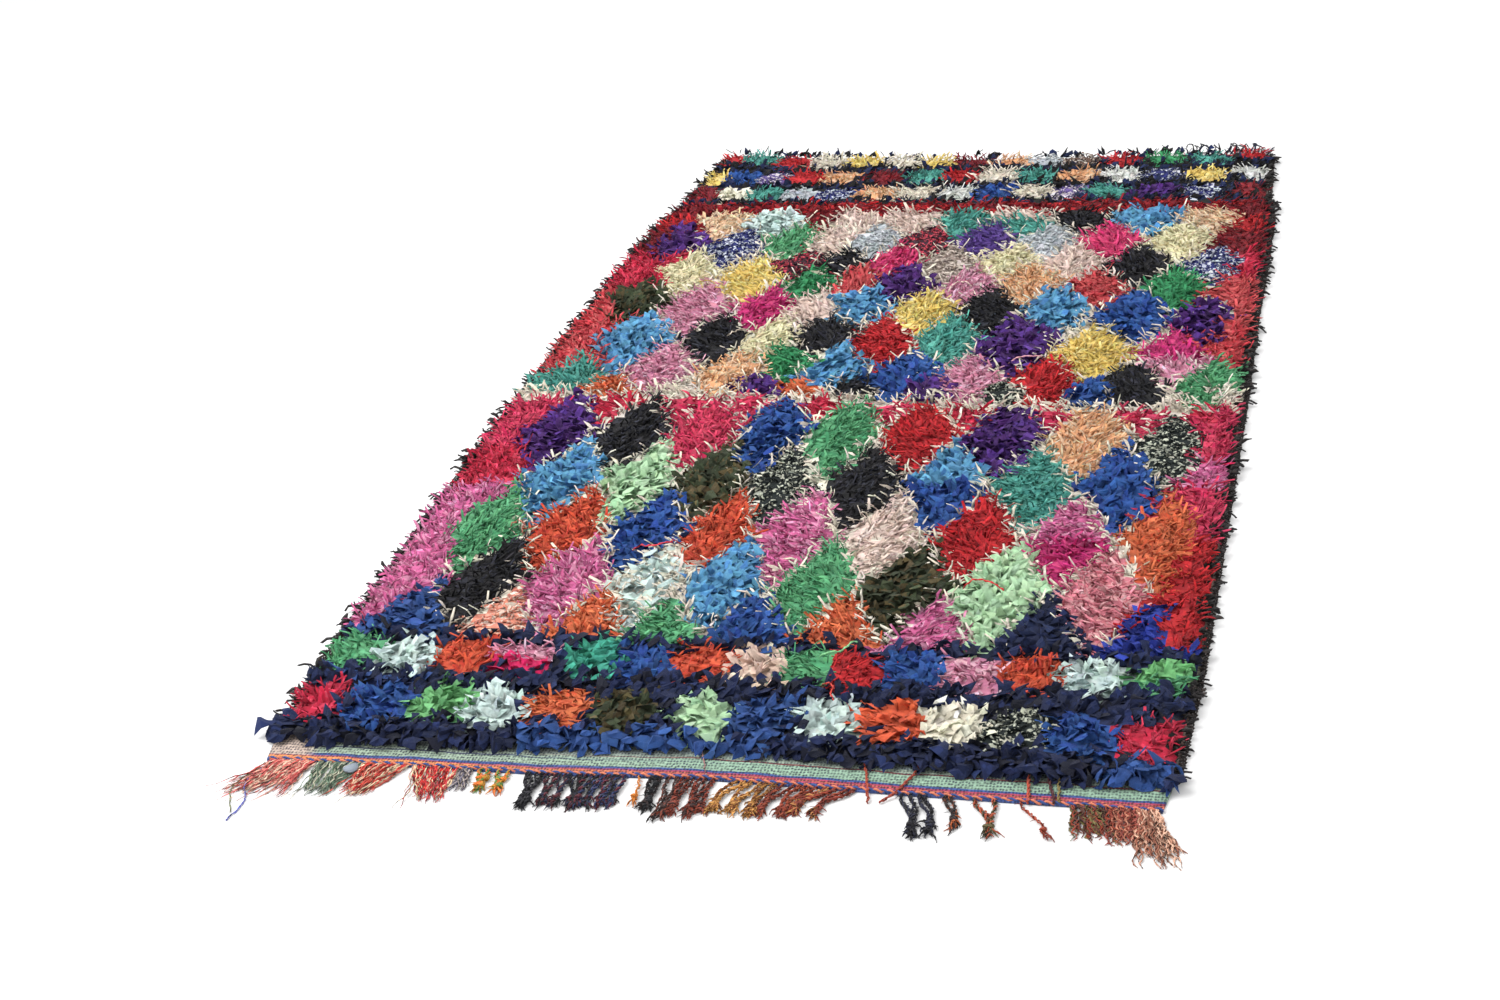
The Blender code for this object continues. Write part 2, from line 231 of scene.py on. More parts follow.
NEAR_BLOCKS = (
    MotifRow(-120.5, 4.7, 5.5, "crimson -60 -121, blue -50, leaf_green -41, ice -33, orange -23, camo -14, "
             "mint -2, denim 7, ice 16, orange_leaf 25, cream_leaf 33.5, check_mix 42 -121.5, blue 51 -122, "
             "crimson 60.5 -123"),
    MotifRow(-106, 4.7, 5.5, "green -60, ice -51, orange_red -42, pink/cerise -33, teal_leaf -22.5, "
             "blue -14.5, orange_red -6, blush_leaf 3, green 9.5, red 16.5, blue 25, pink 34, orange_red 42, "
             "ice 51, leaf_green/green 60.5"),
)
LOWER_FIELD = (
    MotifRow(-98.5, 6.6, 17.0, "denim -55, salmon_mix -41, orange -26, green -14.5, blue -1, orange 12, "
             "dusty 24.5, navy 42 -99, royal 58 -99"),
    MotifRow(-80, 6.7, 18.0, "black -47.5, dusty -34, cream+ice -20.5, sky -9.5, green 6, camo 19.5, mint 34, "
             "shell 49.5"),
    MotifRow(-62, 6.6, 18.0, "green -53, orange_red -39, blue -25.5, orange_red -14, dusty -1, blush 13, red 28.5, "
             "dusty/magenta 43, orange 57"),
    MotifRow(-42, 6.6, 18.0, "sky -46, mint -32.5, camo -20, check_mix -8, black 6.5, sky/blue 20, teal 34.5, "
             "blue 48.5"),
    MotifRow(-22, 6.6, 17.5, "purple -53, black -39, rose -25.5, blue -13.5, green -2, red 12, purple 26.5, "
             "peach 40.5, check_mix 55.5 -26"),
    MotifRow(-2, 6.4, 12.5, "rose -64, crimson -46, rose -33, rose -21, crimson -7, rose 6, crimson 20 -4, "
             "rose 34.5 -5, rose 50 -6, crimson 63 -6"),
)
UPPER_FIELD = (
    MotifRow(-1, 4.8, 6.6, "orange -50, purple -22, orange -13, black -3.5, purple 10, check_mix 23.5, blue 38.5"),
    MotifRow(8, 6.4, 12.0, "teal -59.5 4, pink -42 10, peach -27 8, emerald -19 14, sky -9 10, blue 4.5 6, "
             "pink 17 4, red 31.5 3, black 47 2, green 60 4"),
    MotifRow(24, 6.6, 13.5, "sky -52, black -35, butter -24.5, black -14.5 27, red -2 22, teal 10, purple 23 22, "
             "yellow 38 17, magenta/pink 53 15"),
    MotifRow(42, 6.5, 13.0, "pink -43, magenta -29, blush -19.5 41, sky -10.5 44, yellow 3, black 15.5, "
             "sky 28.5, blue 44 38, purple 58 36"),
    MotifRow(56, 6.5, 12.5, "camo -57.5 45, yellow -35 58, emerald -23 56, coral -13.5 59, purple -3.5 55, "
             "pink 9 53, peach 21.5 57, coral 34.5 53, emerald 50.5 53, coral 63 48"),
    MotifRow(68, 6.5, 12.0, "butter -51 64, red_mix -28, black -17.5, hot_pink -8.5, taupe 3, butter 15.5 69, "
             "blush 28.5, black 42 65, blue_mix 57 67"),
    MotifRow(82, 6.4, 11.5, "purple -58.5, blue_mix -44.5 79, green -32, blush -23.5, grey -14.5, "
             "red_mix -3.5, violet 9.5, grey 22, hot_pink 35, butter 50"),
    MotifRow(96, 6.4, 11.0, "apricot -50, ice -38, maroon -28 101, blush -22, blush -8, teal 2 95, "
             "blush/teal 16, black 28, sky 41, apricot 55.5"),
)
FAR_BLOCKS = (
    MotifRow(114.5, 4.5, 4.6, "maroon -60, cream_leaf -53, teal -45.5, grey -38, blue_mix -30, peach -20, "
             "cream -11.5, white -2, blue 6.5, cream 15, purple_mix 22.5, teal 31, purple 41, blue_mix 51, "
             "maroon 62"),
    MotifRow(126.3, 4.4, 4.6, "yellow -60, blue -53, purple_mix -46, red -38.5, peach -30.5, maroon -20.5, "
             "teal -10.5, red -2.5, cream 5.5, teal 14.5, peach 24, white 33, blue_mix 42, yellow 52, "
             "white 61.5"),
    MotifRow(137.8, 4.4, 4.0, "red -60 141, teal -52 142, red -44, cream -36, yellow -27, cream -18, "
             "yellow -9.5, maroon -2.5, peach 7, grey 15, brown_mix 23, red 31.5, emerald 42, teal 51.5, "
             "red 61 141"),
)
LEFT_MARGIN = (
    (-101, "crimson"), (-97, "dusty"), (-45, "crimson"), (-28, "rose"), (-6, "cream"), (0, "teal"), (8, "brick"),
    (54, "crimson"), (75, "maroon"), (91, "red"), (97, "maroon"),
)
RIGHT_MARGIN = (
    (-101, "red"), (-60, "rose"), (-40, "dusty"), (-30, "rose"), (-6, "cream"), (2, "green"), (12, "brick"),
    (30, "coral"), (60, "crimson"), (73.5, "maroon"), (88, "red"), (96, "maroon"),
)
MIDDLE_LINE = ((-65, -4.0), (-20, -4.0), (0, -5.0), (20, -7.5), (40, -8.0), (66, -8.5))
CREAM_CLUSTER, RED_CLUSTER, MARGIN_CLUSTERS = 1, 2, 3
NEAR_CLUSTERS, FAR_CLUSTERS, LOWER_CLUSTERS, UPPER_CLUSTERS = 100, 200, 300, 400


class MotifChart:
    """The motifs of one zone, looked up by the nearest centre in a diamond or a block measure."""

    def __init__(self, rows: tuple[MotifRow, ...]) -> None:
        """Reads the rows' charts into arrays in metres."""
        centres, halves, cloths, mixed = [], [], [], []
        for row in rows:
            for entry in row.chart.split(","):
                words = entry.split()
                names = words[0].replace("+", "/").split("/")
                height = float(words[2]) if len(words) > 2 else row.y
                centres.append((float(words[1]) * CM, height * CM))
                halves.append((row.half_width * CM, row.half_height * CM))
                cloths.append((INDEX[names[-1]], INDEX[names[0]]))
                mixed.append("+" in words[0])
        self.centres, self.halves = np.array(centres), np.array(halves)
        self.cloths, self.mixed = np.array(cloths), np.array(mixed)

    def offsets(self, x: Array, y: Array) -> list[Array]:
        """Returns each point's offsets from every centre, in half widths and in half heights."""
        return [(spot[:, None] - self.centres[:, axis]) / self.halves[:, axis] for axis, spot in enumerate((x, y))]

    def lozenges(self, x: Array, y: Array) -> tuple[Array, Array, Array]:
        """Looks points up in the diamond measure.

        Returns:
            The nearest motif, the measure to it, and how much further the second nearest is.
        """
        across, along = self.offsets(x, y)
        measure = np.abs(across) + np.abs(along)
        order = np.argsort(measure, axis=1)[:, :2]
        first, second = np.take_along_axis(measure, order, axis=1).T
        return order[:, 0], first, second - first

    def blocks(self, x: Array, y: Array) -> tuple[Array, Array]:
        """Looks points up in a rounded block measure with star-shaped edges.

        Returns:
            The nearest motif and the measure to it, which is 1 at its edge.
        """
        across, along = self.offsets(x, y)
        bearing = np.arctan2(along, across)
        phase = np.arange(len(self.centres)) * 2.1
        star = 1.0 + 0.07 * np.sin(5 * bearing + phase) + 0.05 * np.sin(9 * bearing + 2 * phase)
        measure = (np.abs(across) ** 2.6 + np.abs(along) ** 2.6) ** (1 / 2.6) / star
        return np.argmin(measure, axis=1), np.min(measure, axis=1)

    def cloth(self, motif: Array, y: Array, dice: Array) -> Array:
        """Returns the cloth of each point of the given motifs."""
        upper = np.where(self.mixed[motif], dice < 0.5, y > self.centres[motif, 1])
        return self.cloths[motif, upper.astype(int)]


@dataclass
class Picks:
    """What the plan says of each knot.

    Attributes:
        cloth: Number of its cloth.
        middle: Middle of its cluster, in two columns.
        rim: How far out in its cluster it is, from 0 to 1.
        cluster: Number of its cluster.
    """

    cloth: Array
    middle: Array
    rim: Array
    cluster: Array

    def put(self, mask: Array, **values: object) -> None:
        """Stores values, one for all knots or one for each, where the mask holds."""
        for name, value in values.items():
            column = getattr(self, name)
            column[mask] = np.broadcast_to(value, column.shape)[mask]

    def dye(self, mask: Array, name: str) -> None:
        """Gives the knots of a mask one cloth."""
        self.cloth[mask] = INDEX[name]


@dataclass
class Plan:
    """Says which cloth each knot holds, and how its cluster lies.

    Attributes:
        outline_gaps: How close to a lozenge's border the cream outline begins, in the diamond measure,
            in the lower and the upper field.
        margin: Width of the margins along the sides.
        near_field: Where the near blocks end and the lower field begins.
        far_field: Where the upper field ends and the far blocks begin.
        red_line: Start and end of the red line between the upper field and the far blocks.
        margin_span: Start and end of the margins.
        seam: Half the thickness of the cream line between the fields.
    """

    outline_gaps: tuple[float, float] = (0.116, 0.084)
    margin: float = 0.052
    near_field: float = -0.99
    far_field: float = 1.045
    red_line: tuple[float, float] = (1.005, 1.075)
    margin_span: tuple[float, float] = (-0.975, 1.06)
    seam: float = 0.0120

    def __post_init__(self) -> None:
        """Reads the charts."""
        self.near_blocks, self.far_blocks = MotifChart(NEAR_BLOCKS), MotifChart(FAR_BLOCKS)
        self.lower, self.upper = MotifChart(LOWER_FIELD), MotifChart(UPPER_FIELD)

    def lookup(self, x: Array, y: Array, rng: Generator) -> Picks:
        """Looks knots up.

        Args:
            x: Places across the rug.
            y: Places along the rug.
            rng: Source of the ragged edges.

        Returns:
            What the plan says of each knot.
        """
        count = len(x)
        px = x + rng.normal(0, 0.0026, count) + 0.004 * np.sin(y * 41) + 0.003 * np.sin(y * 97 + x * 30)
        py = y + rng.normal(0, 0.0034, count) + 0.006 * np.sin(x * 37 + 1) + 0.004 * np.sin(x * 83 + y * 20)
        dice = rng.random(count)
        picks = Picks(np.full(count, INDEX["navy"]), rows_of(x, y - 0.02), np.full(count, 0.6),
                      np.zeros(count, dtype=int))
        beside = rows_of(x, y + np.where(dice < 0.5, 0.05, -0.05))
        reach = np.ones(count)
        near, far = py < self.near_field, py > self.far_field
        line = np.interp(px * 100, *zip(*MIDDLE_LINE)) * CM

        for chart, zone, base in ((self.near_blocks, near, NEAR_CLUSTERS), (self.far_blocks, far, FAR_CLUSTERS)):
            found, measure = chart.blocks(px, py)
            picks.put(zone & (measure < 1.02), cloth=chart.cloth(found, py, dice), middle=chart.centres[found],
                      rim=np.clip(measure, 0, 1), cluster=base + found)

        for chart, zone, base in ((self.lower, ~near & (py < line), LOWER_CLUSTERS),
                                  (self.upper, ~far & (py >= line), UPPER_CLUSTERS)):
            found, measure, gap = chart.lozenges(px, py)
            picks.put(zone, cloth=chart.cloth(found, py, dice), middle=chart.centres[found],
                      rim=np.clip(measure, 0, 1), cluster=base + found)
            reach[zone] = measure[zone]
            blank = zone & ((gap < self.outline_gaps[chart is self.upper]) | (measure > 1.40))
            if chart is self.lower:
                blank &= (py > -0.97) & ((py < line - 0.05) | (gap < 0.09))
            picks.put(blank, cloth=INDEX["cream"], middle=beside, rim=1.0, cluster=CREAM_CLUSTER)

        seam = np.abs(py - line) < self.seam + 0.004 * np.sin(px * 260)
        picks.put(seam, cloth=INDEX["cream"], middle=beside, cluster=CREAM_CLUSTER)

        zigzag = 0.016 * np.abs(((px / 0.064) % 2) - 1)
        red_line = (py > self.red_line[0] + zigzag) & (py < self.red_line[1])
        picks.put(red_line, cloth=np.where(dice < 0.55, INDEX["maroon"], INDEX["red"]), cluster=RED_CLUSTER)
        picks.middle[red_line, 1] = 1.04

        for edge, side, table in ((OUTLINE.left(y), -1, LEFT_MARGIN), (OUTLINE.right(y), 1, RIGHT_MARGIN)):
            depth = side * (edge - px)
            scallop = self.margin + 0.010 * np.sin(py * 26 + side) + 0.006 * np.sin(py * 61)
            rows = (depth < scallop) | ((depth < 0.125) & (reach > 1.06) & (np.abs(py - line) > 0.03))
            rows &= (py > self.margin_span[0]) & (py < self.margin_span[1])
            starts = np.array([start for start, _ in table]) * CM
            names = np.array([INDEX[name] for _, name in table])
            start = np.searchsorted(starts, py + rng.normal(0, 0.012, count)) - 1
            picks.put(rows, cloth=names[np.clip(start, 0, None)], rim=0.8, cluster=MARGIN_CLUSTERS + (side > 0),
                      middle=rows_of(x - side * 0.2, y + 0.03))

        picks.dye(x > OUTLINE.right(y) - 0.0115 - 0.0045 * np.sin(y * 47 + 2), "wool")
        guard = near & (picks.cloth == INDEX["navy"])
        light = (py < -1.255) & (px > -0.27) & (px < 0.07)
        light |= (py < -1.285) & (px > 0.54)
        light |= (py > -1.14) & (py < -1.125) & (px > -0.60) & (px < -0.46)
        picks.dye(guard & light, "denim")
        picks.dye(guard & ~light & (dice < 0.22), "midnight")
        top = far & (picks.cloth == INDEX["navy"])
        for low, high, name in ((0.0, 0.2, "wool"), (0.2, 0.4, "navy_spike"), (0.4, 0.7, "soot")):
            picks.dye(top & (dice >= low) & (dice < high), name)
        return picks


PLAN = Plan()


def rows_of(*columns: Array) -> Array:
    """Returns an array with the given columns."""
    return np.stack(columns, axis=1)


def shy(x: Array) -> Array:
    """Returns how much further back the pile's near rim stands in the middle of the rug."""
    return 0.010 * np.exp(-((x - 0.05) / 0.17) ** 4)


def rise_of(x: Array, y: Array, rim: Array) -> Array:
    """Returns how high the rags stand, as a share of their full height: clusters are mounds."""
    swell = 0.05 * np.sin(x * 17 + y * 9) * np.sin(y * 13 - x * 5)
    return 1.0 - 0.24 * rim ** 2 + swell


def write_attribute(mesh: Mesh, name: str, kind: str, values: Array, domain: str = "POINT") -> None:
    """Stores an array on a mesh as a named attribute.

    Args:
        mesh: The mesh.
        name: Name of the attribute.
        kind: Data type of the attribute.
        values: One row for each element.
        domain: Elements that hold it.
    """
    key = {"FLOAT_COLOR": "color", "FLOAT_VECTOR": "vector"}.get(kind, "value")
    if kind == "FLOAT_COLOR":
        values = np.concatenate([values, np.ones((len(values), 1))], axis=1)
    mesh.attributes.new(name, kind, domain).data.foreach_set(key, np.ascontiguousarray(values).ravel())


def write_dyes(mesh: Mesh, first: Array, second: Array, domain: str = "POINT") -> None:
    """Stores the two dyes."""
    write_attribute(mesh, DYE, "FLOAT_COLOR", first, domain)
    write_attribute(mesh, SECOND_DYE, "FLOAT_COLOR", second, domain)


def write_map(mesh: Mesh, name: str, values: Array) -> None:
    """Stores a UV map, one row for each corner."""
    mesh.uv_layers.new(name=name).data.foreach_set("uv", np.ascontiguousarray(values).ravel())


def add_object(name: str, data: bpy.types.ID) -> Object:
    """Adds an object to the scene."""
    made = bpy.data.objects.new(name, data)
    bpy.context.scene.collection.objects.link(made)
    return made


def place(mesh: Mesh, node: str) -> Object:
    """Puts a finished mesh in the scene as a piece that stands for a CAD node.

    Args:
        mesh: The mesh, in the row frame, with the piece's name.
        node: CAD node that the piece stands for.

    Returns:
        The new object.
    """
    piece = add_object(mesh.name, mesh)
    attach(piece, BODY)
    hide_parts(node)
    LOG.info("%s: %d faces", mesh.name, len(mesh.polygons))
    return piece


def new_heights(mesh: Mesh, change: Callable[[Array], Array]) -> None:
    """Moves a mesh's points up or down.

    Args:
        mesh: The mesh.
        change: Takes the points' heights and returns the new ones.
    """
    spots = np.zeros(len(mesh.vertices) * 3, dtype=np.float32)
    mesh.vertices.foreach_get("co", spots)
    spots[2::3] = change(spots[2::3])
    mesh.vertices.foreach_set("co", spots)
    mesh.update()


class NodeMaker:
    """Adds nodes to a tree and links them."""

    def __init__(self, tree: NodeTree) -> None:
        """Keeps the tree."""
        self.tree = tree

    def node(self, kind: str, settings: dict | None = None, **inputs: object) -> Node:
        """Adds a node.

        Args:
            kind: Node type.
            settings: Properties of the node.
            **inputs: Values or sockets for inputs, by name with "_" in place of a space, or as _number.

        Returns:
            The node.
        """
        made = self.tree.nodes.new(kind)
        for key, value in (settings or {}).items():
            setattr(made, key, value)
        for key, value in inputs.items():
            self.feed(made.inputs[int(key[1:]) if key[1:].isdigit() else key.replace("_", " ")], value)
        return made

    def feed(self, socket: NodeSocket, value: object) -> None:
        """Sets a socket's value, or links another socket into it."""
        if isinstance(value, NodeSocket):
            self.tree.links.new(value, socket)
        else:
            socket.default_value = value

    def math(self, operation: str, first: object, second: object) -> NodeSocket:
        """Returns the result of a Math node."""
        return self.node("ShaderNodeMath", {"operation": operation}, _0=first, _1=second).outputs[0]

    def vector(self, operation: str, first: object, **inputs: object) -> NodeSocket:
        """Returns the result of a Vector Math node."""
        return self.node("ShaderNodeVectorMath", {"operation": operation}, _0=first, **inputs).outputs[0]


class Shader(NodeMaker):
    """A material with a Principled shader, and the nodes that feed it."""

    def __init__(self, name: str) -> None:
        """Starts the material."""
        self.material = bpy.data.materials.new(name)
        self.material.use_nodes = True
        super().__init__(self.material.node_tree)
        self.base = self.tree.nodes["Principled BSDF"]

    def attribute(self, name: str, output: str = "Color") -> NodeSocket:
        """Returns a mesh attribute, as a colour or as a number."""
        return self.node("ShaderNodeAttribute", {"attribute_name": name}).outputs[output]

    def strand_map(self) -> NodeSocket:
        """Returns the place on the piece's own map."""
        return self.node("ShaderNodeUVMap", {"uv_map": STRAND_MAP}).outputs[0]

    def place_on(self) -> NodeSocket:
        """Returns the place on the rug, in metres."""
        return self.node("ShaderNodeTexCoord").outputs["Object"]

    def noise(self, vector: NodeSocket, scale: float, detail: float = 3.0) -> NodeSocket:
        """Returns a noise of 0 to 1."""
        return self.node("ShaderNodeTexNoise", Vector=vector, Scale=scale, Detail=detail).outputs[0]

    def ramp(self, value: NodeSocket, low: float, high: float, start: float = 0.0, end: float = 1.0) -> NodeSocket:
        """Maps a value from low..high to start..end, clamped."""
        return self.node("ShaderNodeMapRange", Value=value, From_Min=low, From_Max=high, To_Min=start,
                         To_Max=end).outputs[0]

    def shade(self, colour: NodeSocket, factor: NodeSocket) -> NodeSocket:
        """Multiplies a colour by a grey factor."""
        return self.vector("SCALE", colour, Scale=factor)

    def mix(self, factor: object, first: object, second: object) -> NodeSocket:
        """Mixes two colours."""
        return self.node("ShaderNodeMix", {"data_type": "RGBA"}, _0=factor, _6=first, _7=second).outputs[2]

    def finish(
        self, colour: NodeSocket, bump: NodeSocket, depth: float, roughness: object, sheen: float
    ) -> Material:
        """Links the colour, bump and roughness into the shader.

        Args:
            colour: Base colour.
            bump: Height of 0 to 1.
            depth: Height of the bump in metres.
            roughness: Value or socket.
            sheen: Weight of the sheen.

        Returns:
            The material.
        """
        relief = self.node("ShaderNodeBump", Height=bump, Distance=depth, Strength=0.7)
        for name, value in (("Base Color", colour), ("Roughness", roughness), ("Sheen Weight", sheen),
                            ("Sheen Roughness", 0.5), ("Specular IOR Level", 0.2), ("Normal", relief.outputs[0])):
            self.feed(self.base.inputs[name], value)
        return self.material


@dataclass(frozen=True)
class RagFinish:
    """Finish of cut rags.

    Attributes:
        name: Name of the material.
        ribs: Knit ribs or threads across and along one strip.
        painted_root_shade: Painted shade: how dark a strip is painted at its root, where its neighbours shade it; the
            colour rises to 1.08 at the tip as a painted highlight.
        mottle: Strength of the blotches on it.
        melange: True where two yarns are knitted together.
        sheen: Weight of the sheen.
    """

    name: str
    ribs: tuple[float, float]
    painted_root_shade: float
    mottle: float
    melange: bool = False
    sheen: float = 0.03

    def material(self) -> Material:
        """Builds the material from the strip's own map and dyes."""
        shader = Shader(self.name)
        strand, place_on = shader.strand_map(), shader.place_on()
        along = shader.node("ShaderNodeSeparateXYZ", _0=strand).outputs[1]
        rib = shader.node("ShaderNodeTexWave", {"bands_direction": "Y"}, Scale=0.5, Distortion=2.5, Detail=1.0,
                          Vector=shader.vector("MULTIPLY", strand, _1=(*self.ribs, 1.0))).outputs[1]
        blotch = shader.noise(place_on, 95.0)
        scale, low, high = (150.0, 0.53, 0.57) if self.melange else (75.0, 0.61, 0.64)
        second_share = shader.ramp(shader.noise(place_on, scale, 1.0), low, high)
        colour = shader.mix(second_share, shader.attribute(DYE), shader.attribute(SECOND_DYE))
        colour = shader.shade(colour, shader.ramp(blotch, 0.3, 0.7, 1.0 - self.mottle, 1.0 + self.mottle))
        # Painted shade and highlight: each strip is darker towards its root and a little lighter towards its tip.
        colour = shader.shade(colour, shader.ramp(along, 0.05, 0.75, self.painted_root_shade, 1.08))
        colour = shader.shade(colour, shader.ramp(rib, 0.0, 1.0, 0.93, 1.04))
        roughness = shader.ramp(blotch, 0.2, 0.8, 0.82, 0.96)
        return shader.finish(colour, shader.math("ADD", rib, blotch), 0.0008, roughness, self.sheen)


@dataclass(frozen=True)
class StripShape:
    """The form of one cut strip, from its root to its tip.

    Attributes:
        length: Length of the strip.
        width: Greatest width.
        thickness: Thickness of the cloth, or of a rolled strip.
        segments: Number of segments along it.
        corners: Corners of its section: 4 for a creased leaf, 3 for a rolled strip.
        lean_start: Lean from upright at the root, in degrees.
        lean_end: Lean from upright at the tip, in degrees.
        taper: Width at the tip as a share of the greatest.
    """

    length: float
    width: float
    thickness: float
    segments: int
    corners: int
    lean_start: float
    lean_end: float
    taper: float

    def mesh(self, name: str, rng: Generator) -> Mesh:
        """Builds a closed strip with its own map.

        Args:
            name: Name of the mesh.
            rng: Source of its creases and bends.

        Returns:
            The mesh, with its root at the origin.
        """
        steps = np.linspace(0, 1, self.segments + 1)
        lean = np.radians(self.lean_start + (self.lean_end - self.lean_start) * steps + rng.normal(0, 9, len(steps)))
        veer = np.cumsum(rng.normal(0, 0.28, len(steps)))
        twist = rng.normal(0, 0.5) + rng.normal(0, 0.9) * steps
        piece = self.length / self.segments
        spine = np.zeros((len(steps), 3))
        tangents = rows_of(np.sin(lean) * np.cos(veer), np.sin(lean) * np.sin(veer), np.cos(lean))
        spine[1:] = np.cumsum(tangents[1:] * piece, axis=0)
        widths = self.width * np.interp(steps, [0, 0.3, 0.7, 1], [0.55, 0.95, 1.0, self.taper])
        widths *= rng.uniform(0.88, 1.12, len(steps))
        skew = rng.uniform(-0.5, 0.5) * self.width
        points, uvs = [], []
        for ring in range(len(steps)):
            tangent = Vector(tangents[ring]).normalized()
            across = Vector((0, 0, 1)).cross(tangent)
            across = across.normalized() if across.length > 1e-4 else Vector((0, 1, 0))
            across = Matrix.Rotation(twist[ring], 3, tangent) @ across
            normal = tangent.cross(across)
            half = widths[ring] / 2
            if self.corners == 4:
                fold = rng.uniform(-0.45, 0.45) * half
                flat = [(-half, 0), (rng.uniform(-0.3, 0.3) * half, fold - self.thickness / 2), (half, 0),
                        (rng.uniform(-0.3, 0.3) * half, fold + self.thickness / 2)]
            else:
                flat = [(half * math.cos(a), self.thickness / 2 * math.sin(a))
                        for a in np.arange(self.corners) * math.tau / self.corners + 0.5]
            for u, v in flat:
                tip = skew * u / half if ring == len(steps) - 1 else 0.0
                points.append(Vector(spine[ring]) + across * u + normal * v + tangent * tip)
        sides = self.corners
        faces = []
        for ring in range(self.segments):
            for corner in range(sides):
                after = (corner + 1) % sides
                low, high = ring * sides, (ring + 1) * sides
                faces.append((low + corner, low + after, high + after, high + corner))
                u0, u1 = corner / sides, (corner + 1) / sides
                v0, v1 = 0.05 + 0.9 * steps[ring], 0.05 + 0.9 * steps[ring + 1]
                uvs += [(u0, v0), (u1, v0), (u1, v1), (u0, v1)]
        for base, flip, height in ((0, True, 0.02), (self.segments * sides, False, 0.98)):
            order = range(sides - 1, -1, -1) if flip else range(sides)
            faces.append(tuple(base + corner for corner in order))
            uvs += [(0.5 + 0.4 * math.cos(math.tau * c / sides), height + 0.018 * math.sin(math.tau * c / sides))
                    for c in order]
        mesh = bpy.data.meshes.new(name)
        mesh.from_pydata([tuple(point) for point in points], [], faces)
        write_map(mesh, STRAND_MAP, np.array(uvs))
        if self.corners == 3 and self.thickness > 0.0020:
            mesh.shade_smooth()
        return mesh


class TreeMaker(NodeMaker):
    """Builds a Geometry Nodes tree with named inputs and runs it on a carrier mesh."""

    def __init__(self, name: str, sockets: dict[str, str]) -> None:
        """Starts a tree.

        Args:
            name: Name of the tree.
            sockets: Names of the inputs and their socket types, without "NodeSocket".
        """
        super().__init__(bpy.data.node_groups.new(name, "GeometryNodeTree"))
        for way, kinds in (("INPUT", {"Geometry": "Geometry", **sockets, "Finish": "Material"}),
                           ("OUTPUT", {"Geometry": "Geometry"})):
            for key, kind in kinds.items():
                self.tree.interface.new_socket(key, in_out=way, socket_type="NodeSocket" + kind)
        self.given = self.node("NodeGroupInput").outputs
        self.target = self.node("NodeGroupOutput")

    def named(self, name: str, kind: str = "FLOAT") -> NodeSocket:
        """Returns a named attribute as a field."""
        return self.node("GeometryNodeInputNamedAttribute", {"data_type": kind}, Name=name).outputs[0]

    def end(self, geometry: NodeSocket) -> "TreeMaker":
        """Realizes the instances, sets the finish and links the output."""
        real = self.node("GeometryNodeRealizeInstances", Geometry=geometry).outputs[0]
        dressed = self.node("GeometryNodeSetMaterial", Geometry=real, Material=self.given["Finish"])
        self.feed(self.target.inputs[0], dressed.outputs[0])
        return self

    def run(self, carrier: Mesh, name: str, values: dict[str, object]) -> Mesh:
        """Runs the tree on a mesh and returns the result as a plain mesh.

        Args:
            carrier: Mesh that carries the points and their attributes.
            name: Name of the new mesh.
            values: Values of the named inputs.

        Returns:
            The new mesh, with no modifier behind it.
        """
        holder = add_object(name + "_carrier", carrier)
        modifier = holder.modifiers.new("Nodes", "NODES")
        modifier.node_group = self.tree
        for item in self.tree.interface.items_tree:
            if item.in_out == "INPUT" and item.name in values:
                modifier[item.identifier] = values[item.name]
        graph = bpy.context.evaluated_depsgraph_get()
        result = bpy.data.meshes.new_from_object(
            holder.evaluated_get(graph), preserve_all_data_layers=True, depsgraph=graph
        )
        result.name = name
        result.materials.clear()
        result.materials.append(values["Finish"])
        result.polygons.foreach_set("material_index", np.zeros(len(result.polygons), dtype=np.int32))
        bpy.data.objects.remove(holder)
        bpy.data.meshes.remove(carrier)
        return result


def scatter_tree() -> TreeMaker:
    """Builds the tree that sets one strip of rag on each knot."""
    maker = TreeMaker("RagScatter", {"Rags": "Collection", "Roll": "Float"})
    rags = maker.node("GeometryNodeCollectionInfo", Collection=maker.given["Rags"], Separate_Children=True,
                      Reset_Children=True)
    sway = maker.node("FunctionNodeRandomValue", {"data_type": "FLOAT_VECTOR"}, Min=(-1.0, -1.0, -0.4),
                      Max=(1.0, 1.0, 0.4), Seed=17)
    rolled = maker.vector("SCALE", sway.outputs[0], Scale=maker.given["Roll"])
    turn = maker.vector("ADD", maker.named("turn", "FLOAT_VECTOR"), _1=rolled)
    strips = maker.node("GeometryNodeInstanceOnPoints", Points=maker.given["Geometry"], Instance=rags.outputs[0],
                        Pick_Instance=True, Instance_Index=maker.named("variant", "INT"),
                        Rotation=maker.node("FunctionNodeEulerToRotation", Euler=turn).outputs[0],
                        Scale=maker.named("stretch", "FLOAT_VECTOR"))
    return maker.end(strips.outputs[0])


